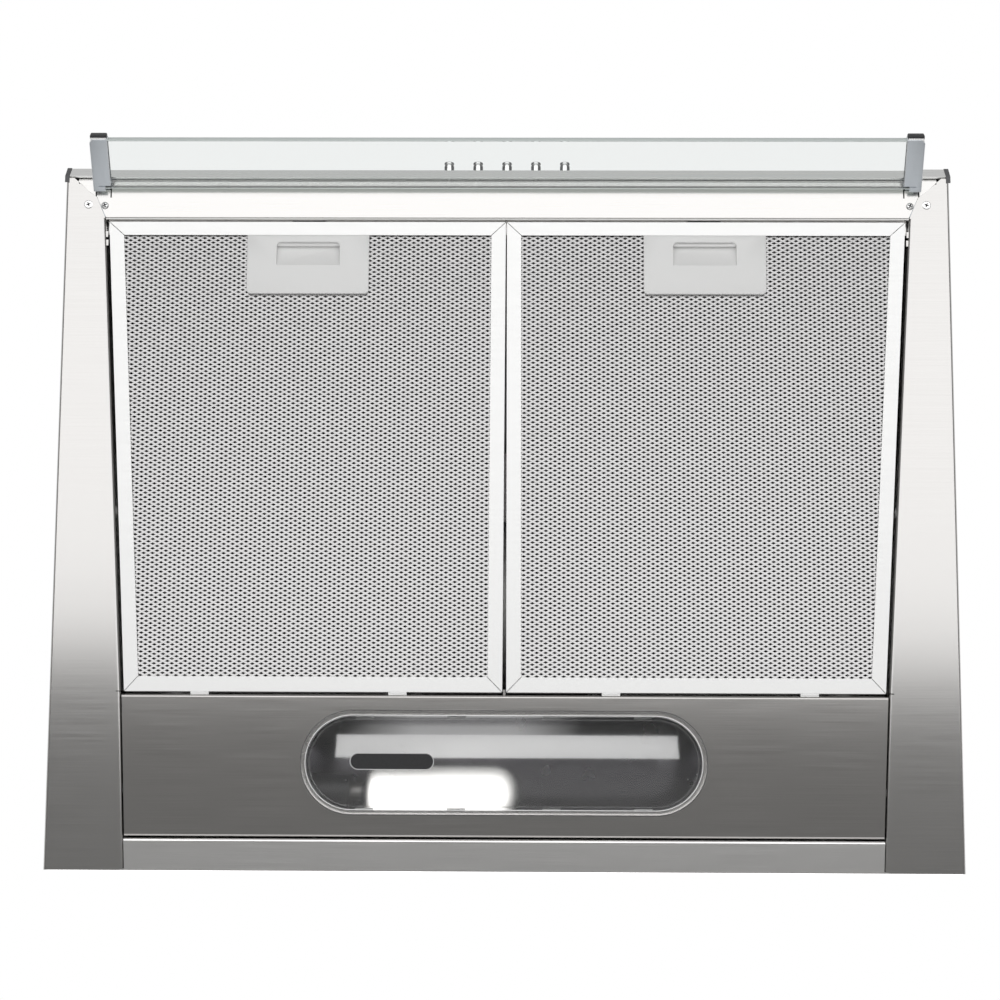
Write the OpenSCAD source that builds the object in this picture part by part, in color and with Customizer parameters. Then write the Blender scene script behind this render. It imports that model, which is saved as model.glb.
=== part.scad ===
// Range hood seen from below: a folded steel casing with two tapered mesh filters,
// a lamp panel behind them, a front fascia with five push buttons, and a glass visor
// that swings on two arms. Millimetres, +Z up, front towards -Y, wall at Y = 0.
// Z = 0 is the flat underside; the origin is on the wall face, at its lower middle.

/* [Casing] */
// Width over the two side panels
body_w = 598; // [596:1:602]
// Depth of the underside, from the wall to the front edge
body_d = 465; // [465:1:468]
// Height of the casing at the wall
back_h = 135; // [133:1:150]
// Height of the casing behind the fascia
front_h = 56; // [54:1:60]
// Depth of the level part of the top
top_flat_d = 300; // [280:5:320]
// Thickness of the folded sheet steel
sheet = 1; // [0.8:0.1:1.2]
// Outer radius of the visible folds
fold_r = 2; // [1.5:0.1:2.5]

/* [Underside opening] */
// Half width of the opening at its front end
open_front = 271.8; // [270:0.1:272]
// Half width of the opening where the filters end
open_mid = 252; // [251:0.1:253]
// Half width of the opening at the wall
open_back = 246.6; // [246:0.1:247]
// Depth from the wall to the front rail's rear edge
rail_back_y = 436; // [435.8:0.1:436.2]
// Height of the lips turned up round the opening
lip_h = 12; // [10:0.5:13]

/* [Filters] */
// Height of a filter's frame
filter_h = 9; // [8.6:0.1:9]
// Width of the frame's side bars on the face
bar_side = 9.6; // [9:0.1:10.5]
// Width of the front bar
bar_front = 9.1; // [8.8:0.1:9.4]
// Width of the rear bar
bar_back = 9.8; // [9:0.1:10.5]
// Openings of the mesh across one filter
mesh_cols = 8; // [5:1:9]
// Rows of openings of the mesh
mesh_rows = 36; // [20:2:36]

/* [Lamp] */
// Length of the clear lens
lens_l = 265.2; // [255:0.2:268]
// Width of the clear lens
lens_w = 67.4; // [64:0.2:69]
// Depth from the wall to the lens's centre line
lens_y = 70.3; // [69.5:0.1:71]

/* [Visor] */
// Thickness of the glass
glass_t = 6; // [5:0.1:6]
// Angle at which the open visor droops below level
visor_droop = 40; // [38:1:41]
// Diameter of the hinge pins
visor_pin_d = 3; // [2.8:0.1:3]

/* [Buttons] */
// Number of push buttons
button_n = 5; // [5:1:5]
// Distance between two buttons
button_pitch = 19.8; // [18:0.1:20]
// Diameter of a button
button_d = 6.6; // [6:0.1:6.8]
// How far a button stands out of the fascia
button_out = 9; // [7:0.5:10]

/* [Blower] */
// Outer diameter of the air outlet
outlet_d = 120; // [118:1:120]
// Diameter of the blower wheel
wheel_d = 88; // [84:1:88]
// Number of blades
blade_n = 30; // [20:1:36]

/* [Hidden] */
$fn = 64;
steel = [0.74, 0.74, 0.73];
alu = [0.86, 0.87, 0.88];
chrome = [0.9, 0.9, 0.92];
grey_plastic = [0.82, 0.82, 0.81];
dark_plastic = [0.25, 0.25, 0.27];
black_plastic = [0.08, 0.08, 0.09];
satin_grey = [0.62, 0.64, 0.68];
clear = [0.85, 0.92, 0.9, 0.35];

half_w = body_w / 2;
slit = 0.3;
// the mitre seam between a side flange and the front rail, from the front edge inwards
mitre = [[293.6, -body_d], [283.5, -455.9], [277.9, -451.7], [open_front, -rail_back_y - 1]];

// half width of the rail where its front fold begins, on the seam
seam_x = mitre[0][0] + fold_r * (mitre[1][0] - mitre[0][0]) / (mitre[1][1] - mitre[0][1]);

// screws at a front corner: countersunk through the flange, pan head through the rail
corner_screw = [[283.5, -446.5], [272.3, -445.7]];

// front rail
rail_return_h = 10.6;
rail_front_h = 13;
shelf_d = 9;
shelf_half = open_front - 0.9;
notch_x = 267.9;
notch_w = 11;
notch_back_y = 456.6;
notch_slit = 0.9;
notch_slit_y = 451.3;

// visor hinge line and the visor's own frame: origin on the pin, glass towards -Y
pivot_y = -463.6;
pivot_z = 5;
visor_under = -13.6;
visor_top = -6.3;
bracket_front = -36.6;
bracket_back = 1.2;
bracket_mid_x = 273.4;
bracket_w = 12;
ear_w = 7.8;
ear_r = 3.2;
running = 0.05;

// fascia profile
fascia_back = -body_d;
fascia_lip_y = -466.6;
fascia_face = -474;
fascia_top = 56;
fascia_wall = 1.6;
fascia_half = 297;
cap_half = 300;
button_z = 20;
block_face = -468.5;
block_back = -452;
block_half = 50;
block_z0 = 13.6;
block_z1 = 27;

// filters: the inner edge runs beside the middle, the outer one beside the lip
filter_front = -434.4;
filter_back = -116.4;
filter_in_front = 0.4;
filter_in_back = 1.35;
filter_out_front = 268.9;
filter_out_back = 249.7;
frame_wall = 0.9;
mitre_gap = 0.3;
hinge_y = -115.9;
hinge_z = 1.4;
tab_x = [70, 200];
tab_w = 12;
tab_t = 0.8;
tab_end = 6.5;
handle_x = 133.8;
handle_w = 82.4;
handle_front = -425.1;
handle_back = -384.6;
handle_proud = 0.6;
handle_corner = 3;
pocket_w = 42.6;
pocket_front = -420.4;
pocket_back = -404.6;
pocket_top = 6.2;
latch_tip = -435.3;
latch_w = 20;
latch_z0 = 3.2;
latch_z1 = 4.8;

// lamp panel
panel_front = -114.7;
panel_back = -22;
panel_half_front = 251.1;
panel_half_back = 246.9;
strip_front = -21;
strip_half = 247.2;
box_front = -106;
box_back = -26.5;
box_half = 136;
box_h = 48;
bulb_y = -49;
bulb_z = 25;
bulb_r = 20;
bulb_x0 = -92;
bulb_x1 = 9;

// blower
wheel_y = -185;
wheel_z = 70;
scroll_in = 48;
scroll_out = 61.5;
scroll_half = 56;
scroll_wall = 2;
inlet_r = 38;
outlet_y = -150;
outlet_r = outlet_d / 2;
collar_wall = 1.5;
collar_top = 175;
flap_z = 148;
flap_r = 56;
flap_pin_d = 3;
shaft_d = 6;

// ---------- helpers ----------

// a profile drawn in Y and Z, drawn out along X
module along_x(x0, x1) {
    translate([x0, 0, 0]) rotate([90, 0, 90]) linear_extrude(x1 - x0) children();
}

// a round bar along X
module rod_x(r, x0, x1, y, z) {
    translate([x0, y, z]) rotate([0, 90, 0]) cylinder(r = r, h = x1 - x0);
}

// an upright lip with a rounded fold; going from p to q, the flat sheet is on the left
module folded_lip(p, q, h) {
    run = norm(q - p);
    translate([p[0], p[1], 0])
        rotate([0, 0, atan2(q[1] - p[1], q[0] - p[0])])
            along_x(0, run) fold_profile(h);
}

module fold_profile(h) {
    intersection() {
        translate([fold_r, fold_r]) difference() {
            circle(r = fold_r);
            circle(r = fold_r - sheet);
        }
        square(fold_r);
    }
    translate([0, fold_r]) square([sheet, h - fold_r]);
    translate([fold_r, 0]) square([fold_r, sheet]);
}

// a bar with round ends, as long as len and as wide as w
module stadium(len, w) {
    translate([-(len - w) / 2, -w / 2]) square([len - w, w]);
    for (side = [-1, 1]) translate([side * (len - w) / 2, 0]) circle(d = w);
}

// a square with four round corners
module soft_square(size, r) {
    translate([r, 0]) square([size[0] - 2 * r, size[1]]);
    translate([0, r]) square([size[0], size[1] - 2 * r]);
    for (x = [r, size[0] - r], y = [r, size[1] - r]) translate([x, y]) circle(r = r);
}

module both_sides() {
    children();
    mirror([1, 0, 0]) children();
}

// ---------- casing ----------

// outline of a side panel in Y and Z
side_outline = [
    [0, fold_r], [0, back_h], [-top_flat_d, back_h], [-body_d, front_h], [-body_d, fold_r]
];

module side_shell() {
    along_x(half_w - sheet, half_w) polygon(side_outline);
    side_folds();
    difference() {
        side_flange();
        translate([corner_screw[0][0], corner_screw[0][1], -1]) cylinder(d = 3.2, h = 3);
    }
    centring_bumps();
}

// X of the lip beside the filters, and of the one beside the lamp panel
function lip_x(y) =
    open_mid + (open_front - open_mid) * (filter_back - y) / (filter_back - mitre[3][1]);
function rear_lip_x(y) = open_back + (open_mid - open_back) * y / filter_back;

// a short relief cut parts the two lips where the opening changes its taper
relief = 0.3;
lip_start = [lip_x(filter_back - relief), filter_back - relief];
rear_lip_end = [rear_lip_x(filter_back + relief), filter_back + relief];
rear_lip_start = [rear_lip_x(-sheet - relief), -sheet - relief];

module side_folds() {
    folded_lip([half_w, -body_d], [half_w, 0], fold_r + 1);
    folded_lip(lip_start, mitre[3], lip_h);
    folded_lip(rear_lip_start, rear_lip_end, lip_h);
}

// the flat sheet, up to the middle of the level part of each fold
module side_flange() {
    edge = 1.5 * fold_r;
    run = mitre[3] - lip_start;
    linear_extrude(sheet) polygon([
        [half_w - edge, 0],
        [half_w - edge, -body_d],
        mitre[0],
        mitre[1],
        mitre[2],
        mitre[3],
        mitre[3] + [-run[1], run[0]] * edge / norm(run),
        [open_mid + edge, filter_back],
        [open_back + edge, 0]
    ]);
}

// two small pressed bumps that keep a filter clear of the lip
module centring_bumps() {
    for (y = [-428.2, -422.3])
        translate([lip_x(y) - 1.4, y, 1.5]) cube([2.2, 4, 5]);
}

module side_panel_left() {
    color(steel) mirror([1, 0, 0]) side_shell();
}

module side_panel_right() {
    color(steel) side_shell();
}

cabinet_x = 240;
cabinet_y = [-60, -260];
cabinet_hole_d = 5.5;
gland_x = 180;
gland_y = -60;

inner_half = half_w - sheet;
// where the sloping sheet and the front sheet meet on the inside
front_fold = [-body_d + sheet, front_h - 0.5];

// level sheet with the outlet, the gland and the fixing holes
module top_plate() {
    color(steel) difference() {
        translate([-inner_half, -top_flat_d, back_h - sheet])
            cube([2 * inner_half, top_flat_d - sheet, sheet]);
        translate([0, outlet_y, back_h - 3]) cylinder(r = outlet_r - collar_wall, h = 6);
        translate([gland_x, gland_y, back_h - 3]) cylinder(d = 12, h = 6);
        for (x = [-cabinet_x, cabinet_x], y = cabinet_y)
            translate([x, y, back_h - 3]) cylinder(d = cabinet_hole_d, h = 6);
    }
}

module slope_plate() {
    color(steel) along_x(-inner_half, inner_half) polygon([
        [-top_flat_d, back_h],
        [-body_d, front_h],
        front_fold,
        [-top_flat_d, back_h - sheet]
    ]);
}

// the sheet behind the fascia, open where the switch block passes through
module front_plate() {
    color(steel) difference() {
        along_x(-inner_half, inner_half) polygon([
            [-body_d, front_h],
            [-body_d, rail_front_h],
            [-body_d + sheet, rail_front_h],
            front_fold
        ]);
        translate([-block_half - 0.5, -body_d - 1, rail_front_h - 1])
            cube([2 * block_half + 1, 4, block_z1 - rail_front_h + 2]);
    }
}

wall_hole_x = 225;
wall_hole_z = [40, 105];
wall_hole_d = 6;

module back_panel() {
    color(steel) {
        difference() {
            translate([-inner_half, -sheet, sheet])
                cube([2 * inner_half, sheet, back_h - sheet]);
            for (x = [-wall_hole_x, wall_hole_x], z = wall_hole_z)
                translate([x, 1, z]) rotate([90, 0, 0]) cylinder(d = wall_hole_d, h = sheet + 2);
        }
        linear_extrude(sheet) polygon([
            [-open_back + slit, 0],
            [open_back - slit, 0],
            [strip_half, strip_front + fold_r],
            [-strip_half, strip_front + fold_r]
        ]);
        folded_lip([-strip_half, strip_front], [strip_half, strip_front], lip_h - 1);
    }
}

// Z-shaped rail in front of the filters, notched for the visor's arms
module front_rail() {
    rear = -rail_back_y;
    color(steel) difference() {
        union() {
            linear_extrude(sheet) polygon([
                [-seam_x + slit, -body_d + fold_r],
                [seam_x - slit, -body_d + fold_r],
                [mitre[1][0] - slit, mitre[1][1] + slit],
                [mitre[2][0] - slit, mitre[2][1] + slit],
                [open_front - slit, rear - fold_r],
                [-open_front + slit, rear - fold_r],
                [-mitre[2][0] + slit, mitre[2][1] + slit],
                [-mitre[1][0] + slit, mitre[1][1] + slit]
            ]);
            folded_lip([open_front - slit, rear], [-open_front + slit, rear], rail_return_h);
            translate([-shelf_half, rear - sheet, rail_return_h - sheet])
                cube([2 * shelf_half, shelf_d, sheet]);
            folded_lip([-290.5, -body_d], [290.5, -body_d], rail_front_h);
        }
        both_sides() {
            // the notch that the arm moves in, and room for the cheeks that hold the pin
            translate([notch_x, -body_d - 1, -1]) cube([notch_w, body_d + 1 - notch_back_y, 11]);
            for (x = [notch_x, notch_x + notch_w - notch_slit])
                translate([x, -notch_back_y - 0.5, -1])
                    cube([notch_slit, notch_back_y + 0.5 - notch_slit_y, 3]);
            translate([262.6, -body_d - 1, 1.1]) cube([20.6, 4, 8.9]);
            // slot for the latch's tongue
            translate([handle_x - latch_w / 2 - 1, rear - 2, latch_z0 - 0.6])
                cube([latch_w + 2, 3, latch_z1 - latch_z0 + 1.2]);
            translate([corner_screw[1][0], corner_screw[1][1], -1]) cylinder(d = 3.2, h = 3);
        }
    }
}

// ---------- fascia and buttons ----------

// drawn aluminium profile: sloping lip, face and top flange
fascia_outer = [
    [fascia_back, fascia_top],
    [fascia_face + 3, fascia_top],
    [fascia_face, fascia_top - 3],
    [fascia_face, 8],
    [fascia_lip_y, 0]
];

function fascia_inner() = [
    [fascia_lip_y + 1.15, 1.11],
    [fascia_face + fascia_wall, 8.65],
    [fascia_face + fascia_wall, fascia_top - 3.7],
    [fascia_face + 3.7, fascia_top - fascia_wall],
    [fascia_back, fascia_top - fascia_wall]
];

function button_x(i) = (i - (button_n + 1) / 2) * button_pitch;

module fascia() {
    color(alu) difference() {
        along_x(-fascia_half, fascia_half) polygon(concat(fascia_outer, fascia_inner()));
        for (i = [1:button_n])
            translate([button_x(i), fascia_face + 4, button_z])
                rotate([90, 0, 0]) cylinder(d = button_d + 0.8, h = 6);
    }
}

// moulded end cap: a plate that follows the profile, with a plug that goes inside it
module fascia_cap_shape() {
    along_x(fascia_half, cap_half) polygon([
        [fascia_back + 3, -0.4],
        [fascia_lip_y + 0.2, -0.4],
        [fascia_face - 0.4, 7.8],
        [fascia_face - 0.4, fascia_top - 2.8],
        [fascia_face + 2.8, fascia_top + 0.4],
        [fascia_back - 0.1, fascia_top + 0.4],
        [fascia_back - 0.1, -0.1],
        [fascia_back + 3, -0.1]
    ]);
    along_x(fascia_half - 7, fascia_half + 0.2) polygon([
        [fascia_lip_y + 0.6, 3],
        [fascia_face + fascia_wall + 0.1, 9.5],
        [fascia_face + fascia_wall + 0.1, fascia_top - 4.5],
        [fascia_face + 4, fascia_top - fascia_wall - 0.3],
        [fascia_lip_y + 0.6, fascia_top - fascia_wall - 0.3]
    ]);
}

module fascia_cap_left() {
    color(dark_plastic) mirror([1, 0, 0]) fascia_cap_shape();
}

module fascia_cap_right() {
    color(dark_plastic) fascia_cap_shape();
}

// the housing that guides the five buttons, with a lug at each end
module switch_block() {
    color(black_plastic) difference() {
        union() {
            translate([-block_half, block_face, block_z0])
                cube([2 * block_half, block_back - block_face, block_z1 - block_z0]);
            translate([-block_half - 9, -body_d - 1.6, block_z0])
                cube([2 * block_half + 18, 1.6, block_z1 - block_z0]);
            for (i = [1:button_n])
                translate([button_x(i) - 6, block_back - 1, block_z0 + 2]) cube([12, 7, 8]);
        }
        for (i = [1:button_n])
            translate([button_x(i), block_face + 13.5, button_z])
                rotate([90, 0, 0]) cylinder(d = 4 + 2 * running, h = 16);
        for (side = [-1, 1])
            translate([side * (block_half + 4.5), -body_d + 1, button_z])
                rotate([90, 0, 0]) cylinder(d = 3.2, h = 5);
    }
}

// round cap with a rounded rim and a waist, on a stem that slides in the block
module button(i) {
    tip = button_out;
    r = button_d / 2;
    color(chrome)
        translate([button_x(i), fascia_face, button_z]) rotate([90, 0, 0])
            rotate_extrude() polygon([
                [0, -15],
                [2, -15],
                [2, -2],
                [r, -2],
                [r, tip - 2.6],
                [r - 0.5, tip - 2.3],
                [r - 0.5, tip - 1.9],
                [r, tip - 1.6],
                [r, tip - 0.6],
                [r - 0.6, tip],
                [0, tip]
            ]);
}

module button_1() { button(1); }
module button_2() { button(2); }
module button_3() { button(3); }
module button_4() { button(4); }
module button_5() { button(5); }

// ---------- visor ----------

module visor_frame() {
    translate([0, pivot_y, pivot_z]) rotate([visor_droop, 0, 0]) children();
}

// the two cheeks that carry the pin start at these X places
cheek_x = [264.4, 279];
cheek_w = 3.2;

// base plate behind the notch, and the two cheeks
module hinge_block_shape() {
    difference() {
        union() {
            translate([cheek_x[0], -450.5, sheet]) cube([22, 12, 2]);
            for (x = cheek_x) {
                translate([x, -466, 2.2]) cube([cheek_w, 9, pivot_z + 1]);
                translate([x, -458, sheet]) cube([cheek_w, 14, 5]);
            }
        }
        rod_x(visor_pin_d / 2, 260, 290, pivot_y, pivot_z);
        for (at = corner_screw) translate([at[0], at[1], 0]) cylinder(d = 2.6, h = 6);
    }
}

module hinge_block_left() {
    color(satin_grey) mirror([1, 0, 0]) hinge_block_shape();
}

module hinge_block_right() {
    color(satin_grey) hinge_block_shape();
}

module visor_pins() {
    color(chrome) both_sides() {
        rod_x(visor_pin_d / 2, 263.9, cheek_x[1] + cheek_w + 0.5, pivot_y, pivot_z);
        rod_x(visor_pin_d / 2 + 0.9, 263.1, cheek_x[0], pivot_y, pivot_z);
    }
}

glass_under = visor_under + 0.8;
glass_half = bracket_mid_x + 2;

// flat pane with ground edges; the rear upper edge is bevelled to clear the rail
module visor_glass() {
    back = 0.8;
    front = bracket_front + 1;
    color(clear) visor_frame()
        along_x(-glass_half, glass_half) polygon([
            [front + 0.6, glass_under],
            [back - 0.5, glass_under],
            [back, glass_under + 0.5],
            [back, glass_under + glass_t - 1.6],
            [back - 1.4, glass_under + glass_t],
            [front + 0.6, glass_under + glass_t],
            [front, glass_under + glass_t - 0.6],
            [front, glass_under + 0.6]
        ]);
}

// cast channel round the pane's end, with an ear that turns on the pin
module visor_bracket_shape() {
    x0 = bracket_mid_x - bracket_w / 2;
    x1 = bracket_mid_x + bracket_w / 2;
    top = glass_under + glass_t + 0.5;
    visor_frame() difference() {
        union() {
            along_x(x0, x1) polygon([
                [bracket_front, visor_under + 0.8],
                [bracket_front + 0.8, visor_under],
                [bracket_back - 1, visor_under],
                [bracket_back, visor_under + 1],
                [bracket_back, -8.4],
                [-1.5, top],
                [bracket_front, top]
            ]);
            along_x(bracket_mid_x - ear_w / 2, bracket_mid_x + ear_w / 2) union() {
                circle(r = ear_r);
                translate([-1.5, top - 0.6]) square([4, -top + 0.6]);
                translate([-12, top - 0.2]) square([11, 0.7]);
            }
        }
        // the slot that the glass is glued into
        translate([x0 - 1, bracket_front + 0.9, glass_under])
            cube([glass_half - x0 + 1.02, -bracket_front, glass_t]);
        rod_x(visor_pin_d / 2 + running, x0, x1, 0, 0);
    }
}

module visor_bracket_left() {
    color(satin_grey) mirror([1, 0, 0]) visor_bracket_shape();
}

module visor_bracket_right() {
    color(satin_grey) visor_bracket_shape();
}

// black plugs at the front ends of the two brackets
module visor_tips() {
    color(black_plastic) both_sides() visor_frame()
        along_x(bracket_mid_x - 5.6, bracket_mid_x + 5.6) polygon([
            [bracket_front, visor_under + 1.6],
            [bracket_front - 1.6, visor_under + 2],
            [bracket_front - 2.4, visor_under + 3],
            [bracket_front - 2.4, visor_top - 0.9],
            [bracket_front - 1.6, visor_top - 0.3],
            [bracket_front, visor_top - 0.3]
        ]);
}

// ---------- filters (drawn for the right side) ----------

function slant(y, front, back) =
    front + (back - front) * (y - filter_front) / (filter_back - filter_front);

// corners of the filter's outline drawn in by a front, rear and side width
function inset(f, b, s) = [
    [slant(filter_front + f, filter_in_front, filter_in_back) + s, filter_front + f],
    [slant(filter_front + f, filter_out_front, filter_out_back) - s, filter_front + f],
    [slant(filter_back - b, filter_out_front, filter_out_back) - s, filter_back - b],
    [slant(filter_back - b, filter_in_front, filter_in_back) + s, filter_back - b]
];

frame_out = inset(0, 0, 0);
frame_in = inset(bar_front, bar_back, bar_side);

// one mitred bar of the frame, between corners a and b; step shortens its ends
module frame_bar(a, b, step) {
    polygon([
        frame_out[a] + step,
        frame_out[b] - step,
        frame_in[b] - step,
        frame_in[a] + step
    ]);
}

module filter_frame_shape() {
    difference() {
        linear_extrude(filter_h) {
            frame_bar(0, 1, [mitre_gap, 0]);
            frame_bar(3, 2, [mitre_gap, 0]);
            frame_bar(0, 3, [0, mitre_gap]);
            frame_bar(1, 2, [0, mitre_gap]);
        }
        translate([0, 0, frame_wall]) linear_extrude(filter_h - 2 * frame_wall)
            polygon(inset(frame_wall, frame_wall, frame_wall));
        translate([handle_x - latch_w / 2 - 1, filter_front - 1, latch_z0 - 0.3])
            cube([latch_w + 2, 3, latch_z1 - latch_z0 + 0.6]);
    }
    // tongues at the rear that hook into the lamp panel; each rocks on a pressed bead
    for (x = tab_x) {
        translate([x - tab_w / 2, filter_back - frame_wall, hinge_z - 0.2])
            cube([tab_w, hinge_y + tab_end - filter_back + frame_wall, tab_t]);
        rod_x(0.9, x - tab_w / 2, x + tab_w / 2, hinge_y, hinge_z);
    }
}

module filter_frame_left() {
    color(alu) mirror([1, 0, 0]) filter_frame_shape();
}

module filter_frame_right() {
    color(alu) filter_frame_shape();
}

mesh_in = 5;
mesh_t = 0.8;

// diamond openings in alternate rows; each is drawn five times its real size
module diamonds(cols, rows) {
    lo = frame_in[0];
    hi = frame_in[2];
    pitch_x = (frame_in[1][0] - lo[0]) / cols;
    pitch_y = (hi[1] - lo[1]) / rows;
    for (row = [0:rows - 1], col = [0:cols])
        translate([lo[0] + (col + (row % 2) / 2) * pitch_x, lo[1] + (row + 0.5) * pitch_y])
            polygon([
                [-pitch_x / 2 + 3.6, 0],
                [0, -pitch_y + 2],
                [pitch_x / 2 - 3.6, 0],
                [0, pitch_y - 2]
            ]);
}

// the sheets' main field starts behind the handle's block
field_front = handle_back - 1.2;

module handle_clearance() {
    translate([handle_x - handle_w / 2 + 1.2, filter_front])
        square([handle_w - 2.4, field_front - filter_front]);
}

// lower and upper sheet of expanded metal, held in the frame's channel; the strips on
// both sides of the handle are parted from the field behind it
module filter_mesh_shape() {
    edge = frame_wall + 1.2;
    for (level = [[frame_wall, mesh_cols, mesh_rows],
                  [filter_h - frame_wall - mesh_t, mesh_cols / 2, mesh_rows / 2]])
        translate([0, 0, level[0]]) linear_extrude(mesh_t) difference() {
            polygon(inset(edge, edge, edge));
            intersection() {
                diamonds(level[1], level[2]);
                polygon(inset(bar_front + 0.6, bar_back + 0.6, bar_side + 0.6));
            }
            handle_clearance();
            translate([filter_in_front, field_front - mitre_gap])
                square([filter_out_front - filter_in_front, mitre_gap]);
        }
}

module filter_mesh_left() {
    color(alu) mirror([1, 0, 0]) filter_mesh_shape();
}

module filter_mesh_right() {
    color(alu) filter_mesh_shape();
}

foil_pitch = 14;
foil_t = 0.5;
foil_z0 = 1.7;
foil_z1 = 7.3;

// corrugated foil between the two sheets: a zigzag drawn out along Y
module filter_foil_shape() {
    half = foil_pitch / 2;
    n = floor(filter_out_front / half);
    wave = [for (i = [0:n]) [i * half, i % 2 == 0 ? foil_z0 : foil_z1 - foil_t]];
    back = [for (i = [n:-1:0]) [i * half, (i % 2 == 0 ? foil_z0 : foil_z1 - foil_t) + foil_t]];
    intersection() {
        translate([0, filter_back, 0]) rotate([90, 0, 0])
            linear_extrude(filter_back - filter_front) polygon(concat(wave, back));
        linear_extrude(filter_h) difference() {
            polygon(inset(mesh_in, mesh_in, mesh_in));
            handle_clearance();
        }
    }
}

module filter_foil_left() {
    color(alu) mirror([1, 0, 0]) filter_foil_shape();
}

module filter_foil_right() {
    color(alu) filter_foil_shape();
}

// moulded plate with a sloping finger pocket and a guide for the latch
module filter_handle_shape() {
    inner_w = handle_w - 2.8;
    difference() {
        union() {
            translate([handle_x - handle_w / 2, handle_front, -handle_proud])
                linear_extrude(handle_proud + frame_wall)
                    soft_square([handle_w, handle_back - handle_front], handle_corner);
            translate([handle_x - inner_w / 2, filter_front + frame_wall + 0.2, frame_wall])
                cube([inner_w, handle_back - filter_front - 3, filter_h - 2 * frame_wall]);
        }
        along_x(handle_x - pocket_w / 2, handle_x + pocket_w / 2) polygon([
            [pocket_front, -2],
            [pocket_front, pocket_top],
            [pocket_front + 5, pocket_top],
            [pocket_back, 0.6],
            [pocket_back, -2]
        ]);
        translate([handle_x - latch_w / 2 - 0.2, filter_front, latch_z0 - 0.2])
            cube([latch_w + 0.4, pocket_front - filter_front + 1, latch_z1 - latch_z0 + 0.4]);
    }
}

module filter_handle_left() {
    color(grey_plastic) mirror([1, 0, 0]) filter_handle_shape();
}

module filter_handle_right() {
    color(grey_plastic) filter_handle_shape();
}

// sliding latch: a finger lip in the pocket and a tongue through the front bar
module latch_shape() {
    lip_w = pocket_w - 0.8;
    translate([handle_x - lip_w / 2, pocket_front + 0.2, latch_z0 - 1])
        cube([lip_w, 1.8, latch_z1 - latch_z0 + 1.2]);
    translate([handle_x - latch_w / 2, latch_tip, latch_z0])
        cube([latch_w, pocket_front + 0.4 - latch_tip, latch_z1 - latch_z0]);
}

module latch_left() {
    color(grey_plastic) mirror([1, 0, 0]) latch_shape();
}

module latch_right() {
    color(grey_plastic) latch_shape();
}

// ---------- lamp ----------

module lamp_panel() {
    color(steel) difference() {
        union() {
            linear_extrude(sheet) polygon([
                [-panel_half_front, panel_front + fold_r],
                [panel_half_front, panel_front + fold_r],
                [panel_half_back, panel_back - fold_r],
                [-panel_half_back, panel_back - fold_r]
            ]);
            folded_lip([-panel_half_front, panel_front], [panel_half_front, panel_front], lip_h);
            folded_lip([panel_half_back, panel_back], [-panel_half_back, panel_back], lip_h);
            // ears that rest on the side panels' lips
            both_sides() {
                translate([246, panel_front, lip_h]) cube([8.5, 8, sheet]);
                translate([240, panel_back - 8, lip_h]) cube([10, 8, sheet]);
            }
            // the small post between the two filters
            translate([-0.8, panel_front - 3.6, 1.5]) cube([1.6, 4, 6]);
        }
        translate([0, -lens_y, -1]) linear_extrude(3) stadium(lens_l - 5, lens_w - 5);
        both_sides() for (x = tab_x)
            translate([x - tab_w / 2 - 1, panel_front - 1, sheet + 0.05])
                cube([tab_w + 2, 3, 6.2]);
    }
}

clip_x = [91, 31];

// clear moulding: dished face, raised rim, snap clips and a bare oval pad
module lamp_lens() {
    color(clear) translate([0, -lens_y, 0]) {
        difference() {
            translate([0, 0, -1.8]) linear_extrude(1.8) stadium(lens_l, lens_w);
            translate([0, 0, -0.8]) linear_extrude(2) stadium(lens_l - 12, lens_w - 12);
        }
        translate([0, 0, -2.6]) linear_extrude(1) difference() {
            stadium(lens_l - 5, lens_w - 5);
            stadium(lens_l - 8, lens_w - 8);
        }
        linear_extrude(3) difference() {
            stadium(lens_l - 6, lens_w - 6);
            stadium(lens_l - 9.6, lens_w - 9.6);
        }
        both_sides() for (x = clip_x, side = [-1, 1])
            translate([x - 6, side * (lens_w / 2 - 3.1) - 1.8, sheet + 0.1]) cube([12, 3.6, 1.9]);
        translate([-73, -0.6, -2.2]) linear_extrude(0.6) stadium(55, 11);
    }
}

// folded tray over the lens
module lamp_housing() {
    len = 2 * box_half;
    depth = box_back - box_front;
    color(steel) translate([-box_half, box_front, sheet]) difference() {
        cube([len, depth, box_h]);
        translate([sheet, sheet, -1]) cube([len - 2 * sheet, depth - 2 * sheet, box_h]);
    }
}

// bent strip along the tray's front side, with a level light-coloured face
module lamp_reflector() {
    color(alu) along_x(-112, 116) polygon([
        [-74.5, 12],
        [-74.5, 13],
        [-90.4, 13],
        [-104, 41],
        [-104, 47],
        [-105, 47],
        [-105, 40.8],
        [-91, 12]
    ]);
}

// screw lamp holder on a bent foot under the tray's roof
module lamp_holder() {
    color(black_plastic) difference() {
        union() {
            rod_x(14, -131, -103, bulb_y, bulb_z);
            rod_x(12, -134, -130, bulb_y, bulb_z);
            translate([-130, bulb_y - 6, bulb_z]) cube([20, 12, box_h - bulb_z]);
        }
        rod_x(7.4, -122, -100, bulb_y, bulb_z);
    }
}

bulb_shoulder = 8;
bulb_dome = 16;

// long glass envelope with a short round shoulder and a longer dome
module lamp_bulb() {
    l = bulb_x1 - bulb_x0;
    color([0.97, 0.97, 0.95, 0.8]) translate([bulb_x0, bulb_y, bulb_z]) rotate([0, 90, 0])
        rotate_extrude() polygon(concat(
            [[0, -4], [6.4, -4], [6.8, 0.2]],
            [for (a = [0:15:90])
                [bulb_r + bulb_shoulder * (sin(a) - 1), 0.2 + bulb_shoulder * (1 - cos(a))]],
            [for (a = [0:10:90]) [bulb_r * cos(a), l + bulb_dome * (sin(a) - 1)]]
        ));
}

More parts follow.
